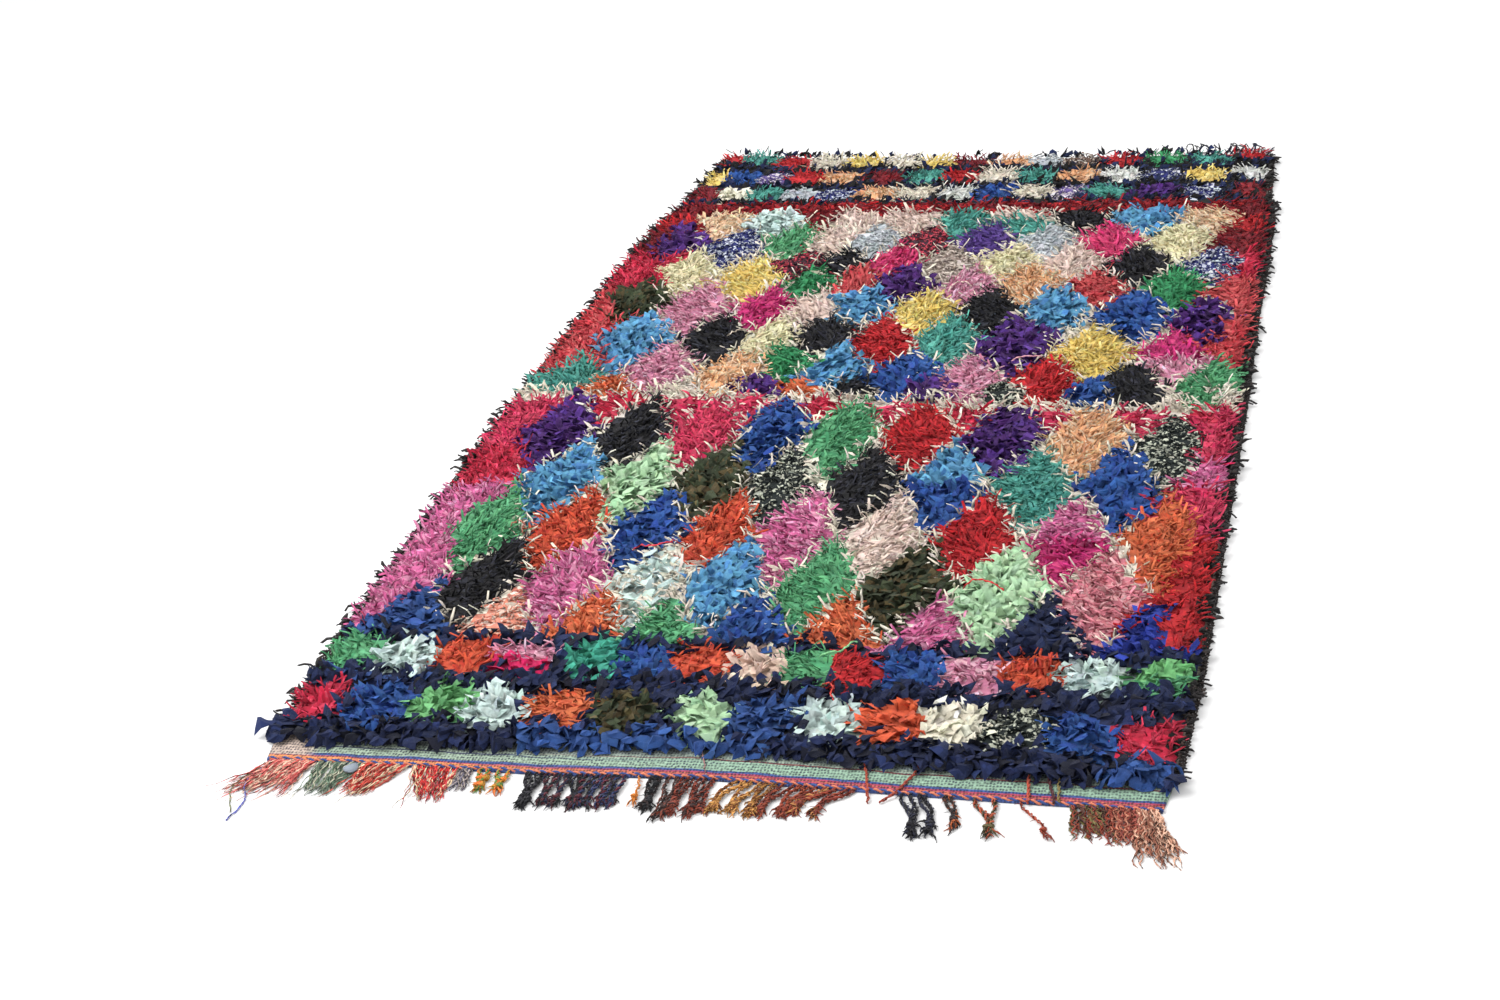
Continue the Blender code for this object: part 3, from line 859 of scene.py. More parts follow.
def yarn_tree() -> TreeMaker:
    """Builds the tree that lays a plied yarn along each path of edges."""
    maker = TreeMaker("PliedYarn", {"Ply Radius": "Float", "Twist": "Float", "Sides": "Int"})
    curve = maker.node("GeometryNodeMeshToCurve", Mesh=maker.given["Geometry"])
    along = maker.node("GeometryNodeSplineParameter").outputs["Length"]
    tilted = maker.node("GeometryNodeSetCurveTilt", Curve=curve.outputs[0],
                        Tilt=maker.math("MULTIPLY", along, maker.given["Twist"]))
    join = maker.node("GeometryNodeJoinGeometry")
    for side in (-1, 1):
        ring = maker.node("GeometryNodeCurvePrimitiveCircle", Resolution=maker.given["Sides"],
                          Radius=maker.given["Ply Radius"])
        beside = maker.node("ShaderNodeCombineXYZ", X=maker.math("MULTIPLY", maker.given["Ply Radius"], 0.86 * side))
        moved = maker.node("GeometryNodeTransform", Geometry=ring.outputs[0], Translation=beside.outputs[0])
        marked = maker.node("GeometryNodeStoreNamedAttribute", {"domain": "POINT"}, Geometry=moved.outputs[0],
                            Name="ply", Value=float(side > 0))
        maker.feed(join.inputs[0], marked.outputs[0])
    tube = maker.node("GeometryNodeCurveToMesh", Curve=tilted.outputs[0], Profile_Curve=join.outputs[0],
                      Scale=maker.named("girth"), Fill_Caps=True)
    return maker.end(tube.outputs[0])


@dataclass(frozen=True)
class YarnFinish:
    """Finish of spun and plied yarn: two dyes by ply, fibres along it and a soft fuzz."""

    name: str
    fuzz: float = 0.08

    def material(self) -> Material:
        """Builds the material."""
        shader = Shader(self.name)
        place_on = shader.place_on()
        fibre = shader.noise(place_on, 900.0, 2.0)
        patch = shader.noise(place_on, 120.0, 2.0)
        colour = shader.mix(shader.attribute("ply", "Fac"), shader.attribute(DYE), shader.attribute(SECOND_DYE))
        colour = shader.shade(colour, shader.ramp(patch, 0.3, 0.7, 0.78, 1.15))
        colour = shader.shade(colour, shader.ramp(fibre, 0.3, 0.7, 0.85, 1.1))
        return shader.finish(colour, shader.math("ADD", fibre, patch), 0.0006, 0.92, self.fuzz)


@dataclass
class Knots:
    """Where strips of rag stand, and how.

    Attributes:
        spots: Rows of x, y and z.
        turn: Rows of Euler angles.
        stretch: Scale along each strip's own axes.
        variant: Which shape of the rack each strip has.
        dyes: First and second dye of each.
    """

    spots: Array
    turn: Array
    stretch: Array
    variant: Array
    dyes: tuple[Array, Array]

    def carrier(self) -> Mesh:
        """Builds the mesh whose points carry all this for the tree."""
        carrier = bpy.data.meshes.new("knots")
        carrier.vertices.add(len(self.spots))
        carrier.vertices.foreach_set("co", np.ascontiguousarray(self.spots).ravel())
        write_attribute(carrier, "turn", "FLOAT_VECTOR", self.turn)
        write_attribute(carrier, "stretch", "FLOAT_VECTOR", self.stretch)
        write_attribute(carrier, "variant", "INT", self.variant.astype(np.int32))
        write_attribute(carrier, "knot", "INT", np.arange(len(self.spots), dtype=np.int32))
        write_dyes(carrier, *self.dyes)
        return carrier


@dataclass
class RagRack:
    """A collection of strip shapes for the tree to pick from.

    Attributes:
        name: Name of the rack.
        count: How many shapes it holds.
        shape: Draws one shape.
        rng: Source of the strips' creases.
    """

    name: str
    count: int
    shape: Callable[[], StripShape]
    rng: Generator

    def __post_init__(self) -> None:
        """Builds the shapes."""
        self.rags = bpy.data.collections.new(self.name)
        for number in range(self.count):
            mesh = self.shape().mesh(f"{self.name}_{number:02d}", self.rng)
            self.rags.objects.link(bpy.data.objects.new(mesh.name, mesh))

    def triangles(self) -> float:
        """Returns the mean number of triangles of a shape."""
        return np.mean([sum(len(face.vertices) - 2 for face in rag.data.polygons) for rag in self.rags.objects])

    def lay(
        self, tree: TreeMaker, knots: Knots, name: str, finish: Material, node: str = "rag_pile", roll: float = 0.12,
        heights: tuple[float, float, float] = (0.0042, 0.030, 0.037),
    ) -> None:
        """Lays one strip on each knot as a piece, with low ones pressed up onto the ground and tall ones down.

        Args:
            tree: The scatter tree.
            knots: Where the strips stand.
            name: Name of the piece.
            finish: Material.
            node: CAD node that the piece stands for.
            roll: How far a strip may roll out of its turn, in radians.
            heights: Least height, height above which rags are pressed down, and height that none passes.
        """
        floor, ceiling, top = heights

        def settled(z: Array) -> Array:
            """Returns the heights after pressing."""
            low, high = z < floor, z > ceiling
            z[low] = floor + 0.0016 * np.tanh(np.abs(z[low] - floor) / 0.004)
            z[high] = ceiling + (top - ceiling) * np.tanh((z[high] - ceiling) / (top - ceiling))
            return z

        mesh = tree.run(knots.carrier(), name, {"Rags": self.rags, "Roll": roll, "Finish": finish})
        new_heights(mesh, settled)
        self.give_bake_map(mesh, len(knots.spots))
        place(mesh, node)

    @staticmethod
    def give_bake_map(mesh: Mesh, count: int) -> None:
        """Lays each strip's own map in its own cell of a square bake map, and drops the working attributes."""
        side = math.ceil(math.sqrt(count))
        knot = np.zeros(len(mesh.vertices), dtype=np.int32)
        mesh.attributes["knot"].data.foreach_get("value", knot)
        corner = np.zeros(len(mesh.loops), dtype=np.int32)
        mesh.loops.foreach_get("vertex_index", corner)
        strand = np.zeros(len(mesh.loops) * 2)
        mesh.uv_layers[STRAND_MAP].data.foreach_get("uv", strand)
        cell = knot[corner]
        place_in = rows_of(cell % side, cell // side)
        write_map(mesh, BAKE_MAP, (place_in + 0.05 + 0.9 * strand.reshape(-1, 2)) / side)
        for name in ("turn", "stretch", "variant", "knot"):
            if name in mesh.attributes:
                mesh.attributes.remove(mesh.attributes[name])

    def clear(self) -> None:
        """Removes the shapes."""
        for rag in list(self.rags.objects):
            bpy.data.meshes.remove(rag.data)
        bpy.data.collections.remove(self.rags)


@dataclass
class RagPile:
    """The knotted pile: an under-pile of packed knots, and cut strips that stand and lean on it.

    Attributes:
        pitches: Spacing of each cut's knots, across and along.
        root_height: Height at which the strips start.
        bed_height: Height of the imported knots.
        piece_limit: Most faces, as triangles, that one piece may hold.
        block_size: Size of the strips in the near blocks.
        knit_size: Size of the knitted loops in them.
        far_size: Size of the strips beyond far_line.
        far_line: Where the far blocks begin.
        cream_size: Range of sizes of the cream strips.
        cream_rise: Range of heights of the cream strips.
        cream_width: Width of the cream strips.
    """

    pitches: dict[Cut, tuple[float, float]] = field(default_factory=lambda: {
        Cut.LEAF: (0.0114, 0.0106), Cut.SPIKE: (0.0092, 0.0088), Cut.KNIT: (0.0094, 0.0092),
    })
    root_height: float = 0.0125
    bed_height: float = 0.0150
    piece_limit: int = 190000
    block_size: float = 0.90
    knit_size: float = 1.08
    far_size: float = 0.78
    far_line: float = 1.07
    cream_size: tuple[float, float] = (0.74, 1.14)
    cream_rise: tuple[float, float] = (0.78, 1.02)
    cream_width: float = 0.88

    def __post_init__(self) -> None:
        """Prepares the finishes, the strips' shapes and the tree."""
        self.rng = np.random.default_rng(Seed.PILE)
        self.tree = scatter_tree()
        self.finishes = {
            Cut.LEAF: RagFinish("JerseyRag", (9.0, 60.0), 0.60, 0.10).material(),
            Cut.SPIKE: RagFinish("CottonStrip", (4.0, 46.0), 0.52, 0.12).material(),
            Cut.KNIT: RagFinish("MelangeKnit", (5.0, 40.0), 0.75, 0.14, melange=True).material(),
        }
        span = self.rng.uniform
        self.racks = {
            Cut.LEAF: RagRack("leaf", 16, lambda: StripShape(
                span(0.020, 0.029), span(0.012, 0.018), 0.0012, 2 + int(self.rng.random() < 0.66), 4,
                span(10, 50), span(60, 100), span(0.85, 1.2)), self.rng),
            Cut.SPIKE: RagRack("spike", 16, lambda: StripShape(
                span(0.022, 0.033), span(0.0046, 0.0068), self.rng.choice([0.0013, 0.0024]),
                2 + int(self.rng.random() < 0.4), 3, span(10, 55), span(50, 98), span(0.45, 0.8)), self.rng),
            Cut.KNIT: RagRack("knit", 10, lambda: StripShape(
                span(0.019, 0.025), span(0.0052, 0.0070), 0.0042, 3, 3, span(10, 40), span(95, 140), 0.85), self.rng),
        }

    def knots(self, pitch: tuple[float, float]) -> tuple[Array, Array]:
        """Returns the places of the knots inside the pile's outline, in jittered rows."""
        ys = np.arange(-1.33, 1.49, pitch[1])
        x, y = np.meshgrid(np.arange(-0.67, 0.67, pitch[0]), ys)
        x = (x + (np.arange(len(ys)) % 2)[:, None] * pitch[0] / 2).ravel()
        y = y.ravel()
        x = x + self.rng.normal(0, pitch[0] * 0.24, len(x))
        y = y + self.rng.normal(0, pitch[1] * 0.24, len(y))
        ragged = 0.0118 + 0.0038 * np.sin(y * 47) + 0.0028 * np.sin(y * 113 + 1)
        inside = (x > OUTLINE.left(y) + 0.012) & (x < OUTLINE.right(y) - ragged)
        inside &= (y > OUTLINE.end(x, NEAR_PILE) + 0.010 + shy(x)) & (y < OUTLINE.end(x, FAR_PILE) + 0.008)
        return x[inside], y[inside]

    def dyes(self, cloth: Array) -> tuple[Array, Array]:
        """Returns each strip's two dyes, with its own shade."""
        rng = self.rng
        first, second = FIRST_DYES[cloth], SECOND_DYES[cloth]
        shade = np.exp(rng.normal(0, 1, len(cloth)) * SPREADS[cloth])[:, None]
        tint = 1 + rng.normal(0, 0.03, (len(cloth), 3))
        swapped = (rng.random(len(cloth)) < np.where(CUTS[cloth] == Cut.KNIT, 0.12, 0.25))[:, None]
        first, second = np.where(swapped, second, first), np.where(swapped, first, second)
        return np.clip(first * shade * tint, 0, 0.92), np.clip(second * shade, 0, 0.92)

    def directions(self, x: Array, y: Array, picks: Picks) -> Array:
        """Returns the bearing in which each strip leans: outward in its cluster, and combed with it."""
        comb = (picks.cluster * 2.399) % math.tau
        pull = 0.15 + 0.35 * picks.rim ** 2
        dx = x - picks.middle[:, 0]
        dy = (y - picks.middle[:, 1]) * 0.55
        reach = np.maximum(np.hypot(dx, dy), 1e-5)
        vx = pull * dx / reach + 0.5 * np.cos(comb)
        vy = pull * dy / reach + 0.5 * np.sin(comb)
        near = y < OUTLINE.end(x, NEAR_PILE) + 0.045
        vx = np.where(near, 0.35 * vx, vx)
        vy = np.where(near, -1.6, vy)
        vy = np.where(y > OUTLINE.end(x, FAR_PILE) - 0.03, 1.0, vy)
        vx = np.where(x > OUTLINE.right(y) - 0.045, 1.5, vx)
        vx = np.where(x < OUTLINE.left(y) + 0.045, -1.5, vx)
        return np.arctan2(vy, vx) + self.rng.normal(0, 1.05, len(x))

    def strips(self, cut: Cut) -> None:
        """Sets the strips of one cut, in bands of the rug so that no piece is too large."""
        rng = self.rng
        x, y = self.knots(self.pitches[cut])
        picks = PLAN.lookup(x, y, rng)
        kept = CUTS[picks.cloth] == cut
        x, y = x[kept], y[kept]
        picks = Picks(picks.cloth[kept], picks.middle[kept], picks.rim[kept], picks.cluster[kept])
        count = len(x)
        bearing = self.directions(x, y, picks)
        rise = rise_of(x, y, picks.rim) * rng.uniform(0.86, 1.12, count)
        size = rng.uniform(0.85, 1.15, count)
        size *= np.where(picks.rim > 0.7, 0.90, 1.0) * np.where(y > self.far_line, self.far_size, 1.0)
        near_blocks = (picks.cluster >= NEAR_CLUSTERS) & (picks.cluster < FAR_CLUSTERS)
        size *= np.where(near_blocks, self.knit_size if cut is Cut.KNIT else self.block_size, 1.0)
        cream = picks.cloth == INDEX["cream"]
        size[cream] = rng.uniform(*self.cream_size, cream.sum())
        rise[cream] = rng.uniform(*self.cream_rise, cream.sum())
        width = rng.uniform(0.8, 1.25, count) * np.where(cream, self.cream_width, 1.0)
        turn = rows_of(rng.normal(0, 0.12, count), rng.normal(0, 0.14, count), bearing)
        root = self.root_height + 0.0035 * (1 - picks.rim) + rng.uniform(-0.001, 0.003, count)
        root = np.where(cream, self.root_height + 0.0035, root)
        inward = np.minimum(np.minimum(x - OUTLINE.left(y), OUTLINE.right(y) - x), y - OUTLINE.end(x, NEAR_PILE))
        root = 0.0065 + (root - 0.0065) * np.sqrt(np.clip(inward / 0.03, 0, 1))
        first, second = self.dyes(picks.cloth)
        spots = rows_of(x, y, root)
        stretch = rows_of(size, size * width, size * rise)
        rack = self.racks[cut]
        bands = math.ceil(count * rack.triangles() * 1.03 / self.piece_limit)
        for band, some in enumerate(np.array_split(np.argsort(y, kind="stable"), bands)):
            variant = rng.integers(0, rack.count, len(some))
            knots = Knots(spots[some], turn[some], stretch[some], variant, (first[some], second[some]))
            rack.lay(self.tree, knots, f"pile_{cut.value}_{band + 1}", self.finishes[cut])
        rack.clear()

    def flaps(self) -> None:
        """Sets the wide navy flaps that hang over the kilim end like shingles."""
        rng = self.rng
        rack = RagRack("flap", 12, lambda: StripShape(
            rng.uniform(0.026, 0.038), rng.uniform(0.016, 0.026), 0.0013, 4, 4,
            rng.uniform(25, 60), rng.uniform(95, 125), rng.uniform(0.7, 1.1)), rng)
        rows = ((0.030, 0.0140, 0.0130), (0.020, 0.0125, 0.0125), (0.011, 0.0100, 0.0115), (0.004, 0.0075, 0.0105))
        places = []
        for back, height, pitch in rows:
            x = np.arange(-0.632, 0.640, pitch)
            x = x + rng.normal(0, pitch * 0.25, len(x))
            y = OUTLINE.end(x, NEAR_PILE) + back + shy(x) + rng.normal(0, 0.0025, len(x))
            places.append(rows_of(x, y, height + rng.uniform(-0.001, 0.0015, len(x))))
        spots = np.concatenate(places)
        count = len(spots)
        cloth = PLAN.lookup(spots[:, 0], spots[:, 1] - 0.012, rng).cloth
        cloth = np.where(CUTS[cloth] == Cut.LEAF, cloth, INDEX["navy"])
        bearing = -math.pi / 2 + rng.normal(0, 0.42, count)
        bearing = np.where(spots[:, 0] < -0.60, bearing - 0.5, bearing)
        turn = rows_of(rng.normal(0, 0.10, count), rng.normal(0, 0.14, count), bearing)
        size = rng.uniform(0.8, 1.15, count)
        stretch = rows_of(size, size * rng.uniform(0.85, 1.2, count), size)
        dyes = self.dyes(cloth)
        knots = Knots(spots, turn, stretch, rng.integers(0, rack.count, count), dyes)
        rack.lay(self.tree, knots, "pile_flaps", self.finishes[Cut.LEAF])
        rack.clear()

    def bed(self) -> None:
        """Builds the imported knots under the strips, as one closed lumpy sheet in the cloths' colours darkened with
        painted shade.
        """
        sheet = SheetMesh(80, 164, NEAR_PILE, FAR_PILE, inset=0.005, overhang=0.011)
        x, y = sheet.grid()
        rim = PLAN.lookup(x.ravel(), y.ravel(), self.rng).rim.reshape(x.shape)
        rough = self.rng.uniform(-0.0022, 0.0022, x.shape)
        top = self.bed_height + 0.0055 * (1 - rim) + rough
        inward = np.clip(sheet.rim_distance(x, y) / 0.022, 0, 1)
        top = 0.0050 + (top - 0.0050) * np.sqrt(inward)
        mesh = sheet.mesh("pile_bed", top, np.full(x.shape, 0.0034), flat_base=True)
        across, along = ((spot[:-1, :-1] + spot[1:, 1:]).ravel() / 2 for spot in (x, y))
        dye, second = self.dyes(PLAN.lookup(across, along, self.rng).cloth)
        # Painted shade: the bed's dyes are darkened to 0.8, as if in the shadow of the strips above.
        sheet.paint_faces(mesh, dye * 0.8, second * 0.8)
        mesh.materials.append(RagFinish("PackedKnots", (300.0, 620.0), 1.0, 0.2).material())
        place(mesh, "rag_pile")

    def build(self) -> None:
        """Builds the whole pile."""
        self.bed()
        self.flaps()
        for cut in Cut:
            self.strips(cut)


@dataclass
class SheetMesh:
    """A closed sheet between the rug's sides and two of its end lines.

    Attributes:
        columns: Faces across.
        rows: Faces along.
        near_column: End line at the near end, as the outline's methods take it.
        far_column: End line at the far end.
        inset: How far inside the outline it stays.
        overhang: How far it passes the far end line, past the inset.
    """

    columns: int
    rows: int
    near_column: int
    far_column: int
    inset: float
    overhang: float = 0.0

    def grid(self) -> tuple[Array, Array]:
        """Returns the places of the sheet's points, as two arrays of rows by columns."""
        u = np.linspace(0, 1, self.columns + 1)
        v = np.linspace(0, 1, self.rows + 1)
        y = np.zeros((self.rows + 1, self.columns + 1))
        x = np.zeros_like(y)
        guess = np.tile(np.linspace(-0.66, 0.66, self.columns + 1), (self.rows + 1, 1))
        for _ in range(3):
            near = OUTLINE.end(guess, self.near_column) + self.inset
            far = OUTLINE.end(guess, self.far_column) - self.inset + self.overhang
            y = near + (far - near) * v[:, None]
            left = OUTLINE.left(y) + self.inset
            right = OUTLINE.right(y) - self.inset
            x = left + (right - left) * u[None, :]
            guess = x
        return x, y

    def rim_distance(self, x: Array, y: Array) -> Array:
        """Returns how far each point is inside the sheet's rim."""
        sides = np.minimum(x - OUTLINE.left(y), OUTLINE.right(y) - x)
        far = OUTLINE.end(x, self.far_column) + self.overhang
        ends = np.minimum(y - OUTLINE.end(x, self.near_column), far - y)
        return np.minimum(sides, ends) - self.inset

    def mesh(self, name: str, top: Array, bottom: Array, flat_base: bool = False) -> Mesh:
        """Builds the closed mesh, with a map in metres and a bake map.

        Args:
            name: Name of the mesh.
            top: Heights of the upper face.
            bottom: Heights of the lower face.
            flat_base: True where the lower face is one flat polygon.

        Returns:
            The mesh.
        """
        x, y = self.grid()
        wide, long = self.columns + 1, self.rows + 1
        count = wide * long
        flat = np.stack([x, y], axis=-1).reshape(-1, 2)
        u, v = np.meshgrid(np.linspace(0, 1, wide), np.linspace(0, 1, long))
        unit = np.stack([u, v], axis=-1).reshape(-1, 2)
        number = np.arange(count).reshape(long, wide)
        a, b, c, d = number[:-1, :-1], number[:-1, 1:], number[1:, 1:], number[1:, :-1]
        top_faces = np.stack([a, b, c, d], axis=-1).reshape(-1, 4)
        loop = np.concatenate([number[0, :-1], number[:-1, -1], number[-1, :0:-1], number[:0:-1, 0]])
        base = np.arange(len(loop)) + count if flat_base else loop + count
        below = loop if flat_base else np.arange(count)
        low_faces = [base[::-1]] if flat_base else list(np.stack([a, d, c, b], axis=-1).reshape(-1, 4) + count)
        low_ids = np.concatenate([loop[::-1]] if flat_base else low_faces) % count
        rim_faces = np.stack([base, np.roll(base, -1), np.roll(loop, -1), loop], axis=-1)
        rim_ids = np.stack([loop, np.roll(loop, -1), np.roll(loop, -1), loop], axis=-1).ravel()
        points = np.concatenate([
            np.concatenate([flat, top.reshape(-1, 1)], axis=1),
            np.concatenate([flat[below], bottom.reshape(-1, 1)[below]], axis=1),
        ])
        faces = [face.tolist() for face in (*top_faces, *low_faces, *rim_faces)]
        mesh = bpy.data.meshes.new(name)
        mesh.from_pydata(points.tolist(), [], faces)
        write_map(mesh, STRAND_MAP, flat[np.concatenate([top_faces.ravel(), low_ids, rim_ids])])
        share = np.arange(len(loop)) / len(loop)
        step = 1 / len(loop)
        wall = [np.stack([np.full(len(loop), across), share + step * along], axis=-1)
                for across, along in ((0.965, 0), (0.965, 1), (0.99, 1), (0.99, 0))]
        write_map(mesh, BAKE_MAP, np.concatenate([
            unit[top_faces.ravel()] * (0.47, 0.99) + 0.005,
            unit[low_ids] * (0.47, 0.99) + (0.485, 0.005),
            np.stack(wall, axis=1).reshape(-1, 2),
        ]))
        mesh.shade_smooth()
        self.copies = np.concatenate([np.arange(count), below])
        return mesh

    def paint(self, mesh: Mesh, dye: Array, second: Array) -> None:
        """Stores two dyes for each point of the last mesh, the same above and below."""
        write_dyes(mesh, dye[self.copies], second[self.copies])

    def paint_faces(self, mesh: Mesh, dye: Array, second: Array) -> None:
        """Stores two dyes for each upper face, with no blend between faces; the rest takes the nearest rim's.

        Args:
            mesh: Mesh from this sheet, with a flat base.
            dye: First dye of each upper face, row by row.
            second: Second dye.
        """
        number = np.arange(self.rows * self.columns).reshape(self.rows, self.columns)
        rim = np.concatenate([number[0], number[:, -1], number[-1, ::-1], number[::-1, 0]])
        owner = np.concatenate([np.repeat(number.ravel(), 4), rim[::-1], np.repeat(rim, 4)])
        write_dyes(mesh, dye[owner], second[owner], "CORNER")


@dataclass(frozen=True)
class KilimFinish:
    """Finish of the flatwoven ground, with the kilim end's weft stripes.

    Attributes:
        name: Name of the material.
        stitch: Length of one weft float.
        beat: Spacing of the weft rows.
        left: Stripes at the left as distance from the edge in millimetres, and sRGB dye.
        right: Stripes at the right.
        corner: Dye of the worn corner at the left.
        warp: Dye of the dark warps between the floats.
    """

    name: str = "KilimWeave"
    stitch: float = 0.0046
    beat: float = 0.0072
    left: tuple[tuple[float, Dye], ...] = (
        (0.0, (66, 84, 136)), (7.0, (208, 136, 84)), (12.5, (168, 84, 92)), (16.0, (62, 80, 132)),
        (23.0, (140, 158, 140)), (40.0, (64, 70, 90)), (43.0, (138, 152, 138)), (55.0, (122, 130, 128)),
    )
    right: tuple[tuple[float, Dye], ...] = (
        (0.0, (66, 84, 136)), (7.0, (166, 72, 90)), (11.0, (186, 108, 82)), (13.5, (160, 66, 88)),
        (18.5, (60, 80, 134)), (24.0, (130, 158, 138)), (50.0, (104, 46, 50)), (53.5, (136, 150, 136)),
        (62.0, (122, 136, 134)),
    )
    corner: Dye = (176, 158, 146)
    warp: Dye = (40, 44, 62)

    def material(self) -> Material:
        """Builds the material from the map in metres, and the distance from the edge as an attribute."""
        shader = Shader(self.name)
        flat = shader.strand_map()
        from_edge = shader.attribute("from_edge", "Fac")
        moved = shader.math("ADD", from_edge, shader.ramp(shader.noise(flat, 16.0, 2.0), 0.25, 0.75, -0.003, 0.003))
        lane = shader.ramp(moved, 0.0, 0.1)
        across = shader.node("ShaderNodeSeparateXYZ", _0=flat).outputs[0]
        stripe = shader.mix(shader.ramp(across, -0.30, 0.05), self.bands(shader, lane, self.left),
                            self.bands(shader, lane, self.right))
        corner = shader.math("MULTIPLY", shader.ramp(across, -0.55, -0.57), shader.ramp(from_edge, 0.014, 0.017))
        stripe = shader.mix(corner, stripe, (*linear(self.corner), 1.0))
        drawn = shader.vector("MULTIPLY", flat, _1=(1.0 / self.stitch, 1.0 / self.beat, 0.0))
        speck = shader.noise(drawn, 1.3, 1.0)
        away = shader.node("ShaderNodeTexVoronoi", {"voronoi_dimensions": "2D"}, Vector=drawn, Scale=1.0,
                           Randomness=0.42).outputs["Distance"]
        rows = shader.node("ShaderNodeTexWave", {"bands_direction": "Y"}, Vector=drawn, Scale=0.314,
                           Distortion=0.6).outputs[1]
        weave = shader.math("MULTIPLY", shader.ramp(away, 0.20, 0.50), shader.ramp(rows, 0.0, 1.0, 0.72, 1.0))
        worn = shader.ramp(shader.noise(flat, 30.0, 2.0), 0.36, 0.62, 0.40, 1.0)
        dark = shader.math("MULTIPLY", shader.ramp(away, 0.26, 0.40, 1.0, 0.0), worn)
        dark = shader.math("MULTIPLY", dark, shader.ramp(speck, 0.38, 0.50, 0.3, 1.0))
        tone = shader.math("MULTIPLY", shader.ramp(weave, 0.0, 1.0, 0.62, 1.05),
                           shader.ramp(speck, 0.3, 0.7, 1.12, 0.86))
        cloth = shader.mix(shader.math("MULTIPLY", dark, 0.85), shader.shade(stripe, tone), (*linear(self.warp), 1.0))
        streak = shader.noise(shader.vector("MULTIPLY", flat, _1=(70.0, 300.0, 0.0)), 1.0, 2.0)
        cloth = shader.shade(cloth, shader.ramp(streak, 0.36, 0.60, 0.78, 1.12))
        ground = shader.shade(shader.attribute(DYE), tone)
        colour = shader.mix(shader.ramp(from_edge, 0.095, 0.1), cloth, ground)
        height = shader.math("ADD", weave, shader.ramp(speck, 0.0, 1.0, 0.0, 0.4))
        return shader.finish(colour, height, 0.0012, 0.93, 0.15)

    @staticmethod
    def bands(shader: Shader, lane: NodeSocket, stripes: tuple[tuple[float, Dye], ...]) -> NodeSocket:
        """Returns the stripes' colours by distance from the edge, over 100 millimetres."""
        band = shader.node("ShaderNodeValToRGB", Fac=lane)
        band.color_ramp.interpolation = "CONSTANT"
        elements = band.color_ramp.elements
        while len(elements) < len(stripes):
            elements.new(0.5)
        for element, (start, dye) in zip(elements, stripes):
            element.position = start / 100.0
            element.color = (*linear(dye), 1.0)
        return band.outputs[0]


@dataclass
class WovenGround:
    """The flatwoven ground under the pile, whose near end shows as a striped kilim."""

    columns: int = 72
    rows: int = 40
    thickness: float = 0.003
    flat: tuple[float, float] = (1.32, 2.80)

    def build(self) -> None:
        sheet = SheetMesh(self.columns, self.rows, NEAR_EDGE, FAR_PILE, 0.0)
        x, y = sheet.grid()
        away = y - OUTLINE.end(x, NEAR_EDGE)
        ripple = 0.0009 * np.sin(x * 38 + 2) * np.clip(1 - away / 0.09, 0, 1)
        mesh = sheet.mesh("woven_ground_cloth", self.thickness + np.abs(ripple), np.zeros_like(x))
        cloth = PLAN.lookup(x.ravel(), y.ravel(), np.random.default_rng(Seed.GROUND)).cloth
        dull = 0.45 * FIRST_DYES[cloth] + 0.55 * linear((120, 110, 100))
        sheet.paint(mesh, dull, dull)
        write_attribute(mesh, "from_edge", "FLOAT", np.tile(away.ravel(), 2))
        mesh.materials.append(KilimFinish().material())
        piece = place(mesh, "woven_ground")


@dataclass(frozen=True)
class Yarn:
    """How a plied yarn is spun.

    Attributes:
        ply: Radius of one ply.
        twist: Twist in radians a metre.
        sides: Sides of a ply.
        finish: Material.
    """

    ply: float
    twist: float
    sides: int
    finish: Material


class YarnBook:
    """Gathers yarn paths, then lays plied yarn along them all as one piece."""

    def __init__(self, seed: int) -> None:
        """Starts an empty book."""
        self.rng = np.random.default_rng(seed)
        self.paths: list[tuple[Array, ...]] = []

    def add(self, points: Array, girth: float | Array, dye: Dye, second: Dye | None = None) -> None:
        """Adds a path.

        Args:
            points: Rows of x, y and z.
            girth: Thickness as a share of the yarn's, one value or one for each point.
            dye: First ply's dye.
            second: Second ply's dye, or None for the same.
        """
        shade = np.exp(self.rng.normal(0, 0.1))
        dyes = (np.tile(linear(tone) * shade, (len(points), 1)) for tone in (dye, second or dye))
        self.paths.append((points, np.broadcast_to(girth, len(points)), *dyes))

    def lay(self, maker: TreeMaker, name: str, yarn: Yarn, node: str) -> None:
        """Runs the yarn tree on all the paths, as one piece.

        Args:
            maker: The yarn tree.
            name: Name of the piece.
            yarn: How the yarn is spun.
            node: CAD node that the piece stands for.
        """
        starts = set(np.cumsum([len(path[0]) for path in self.paths]).tolist())
        points, girth, first, second = (np.concatenate(column) for column in zip(*self.paths))
        edges = [(k, k + 1) for k in range(len(points) - 1) if k + 1 not in starts]
        carrier = bpy.data.meshes.new("paths")
        carrier.from_pydata(points.tolist(), edges, [])
        write_attribute(carrier, "girth", "FLOAT", girth)
        write_dyes(carrier, first, second)
        mesh = maker.run(carrier, name, {"Ply Radius": yarn.ply, "Twist": yarn.twist, "Sides": yarn.sides,
                                         "Finish": yarn.finish})
        new_heights(mesh, lambda z: np.maximum(z, 0.0002))
        mesh.shade_smooth()
        place(mesh, node)


class Style(Enum):
    """How a bunch of warp ends is made up."""

    FUZZ = "fuzz"
    ROPE = "rope"
    KNOT = "knot"
    SINGLE = "single"
    TASSEL = "tassel"


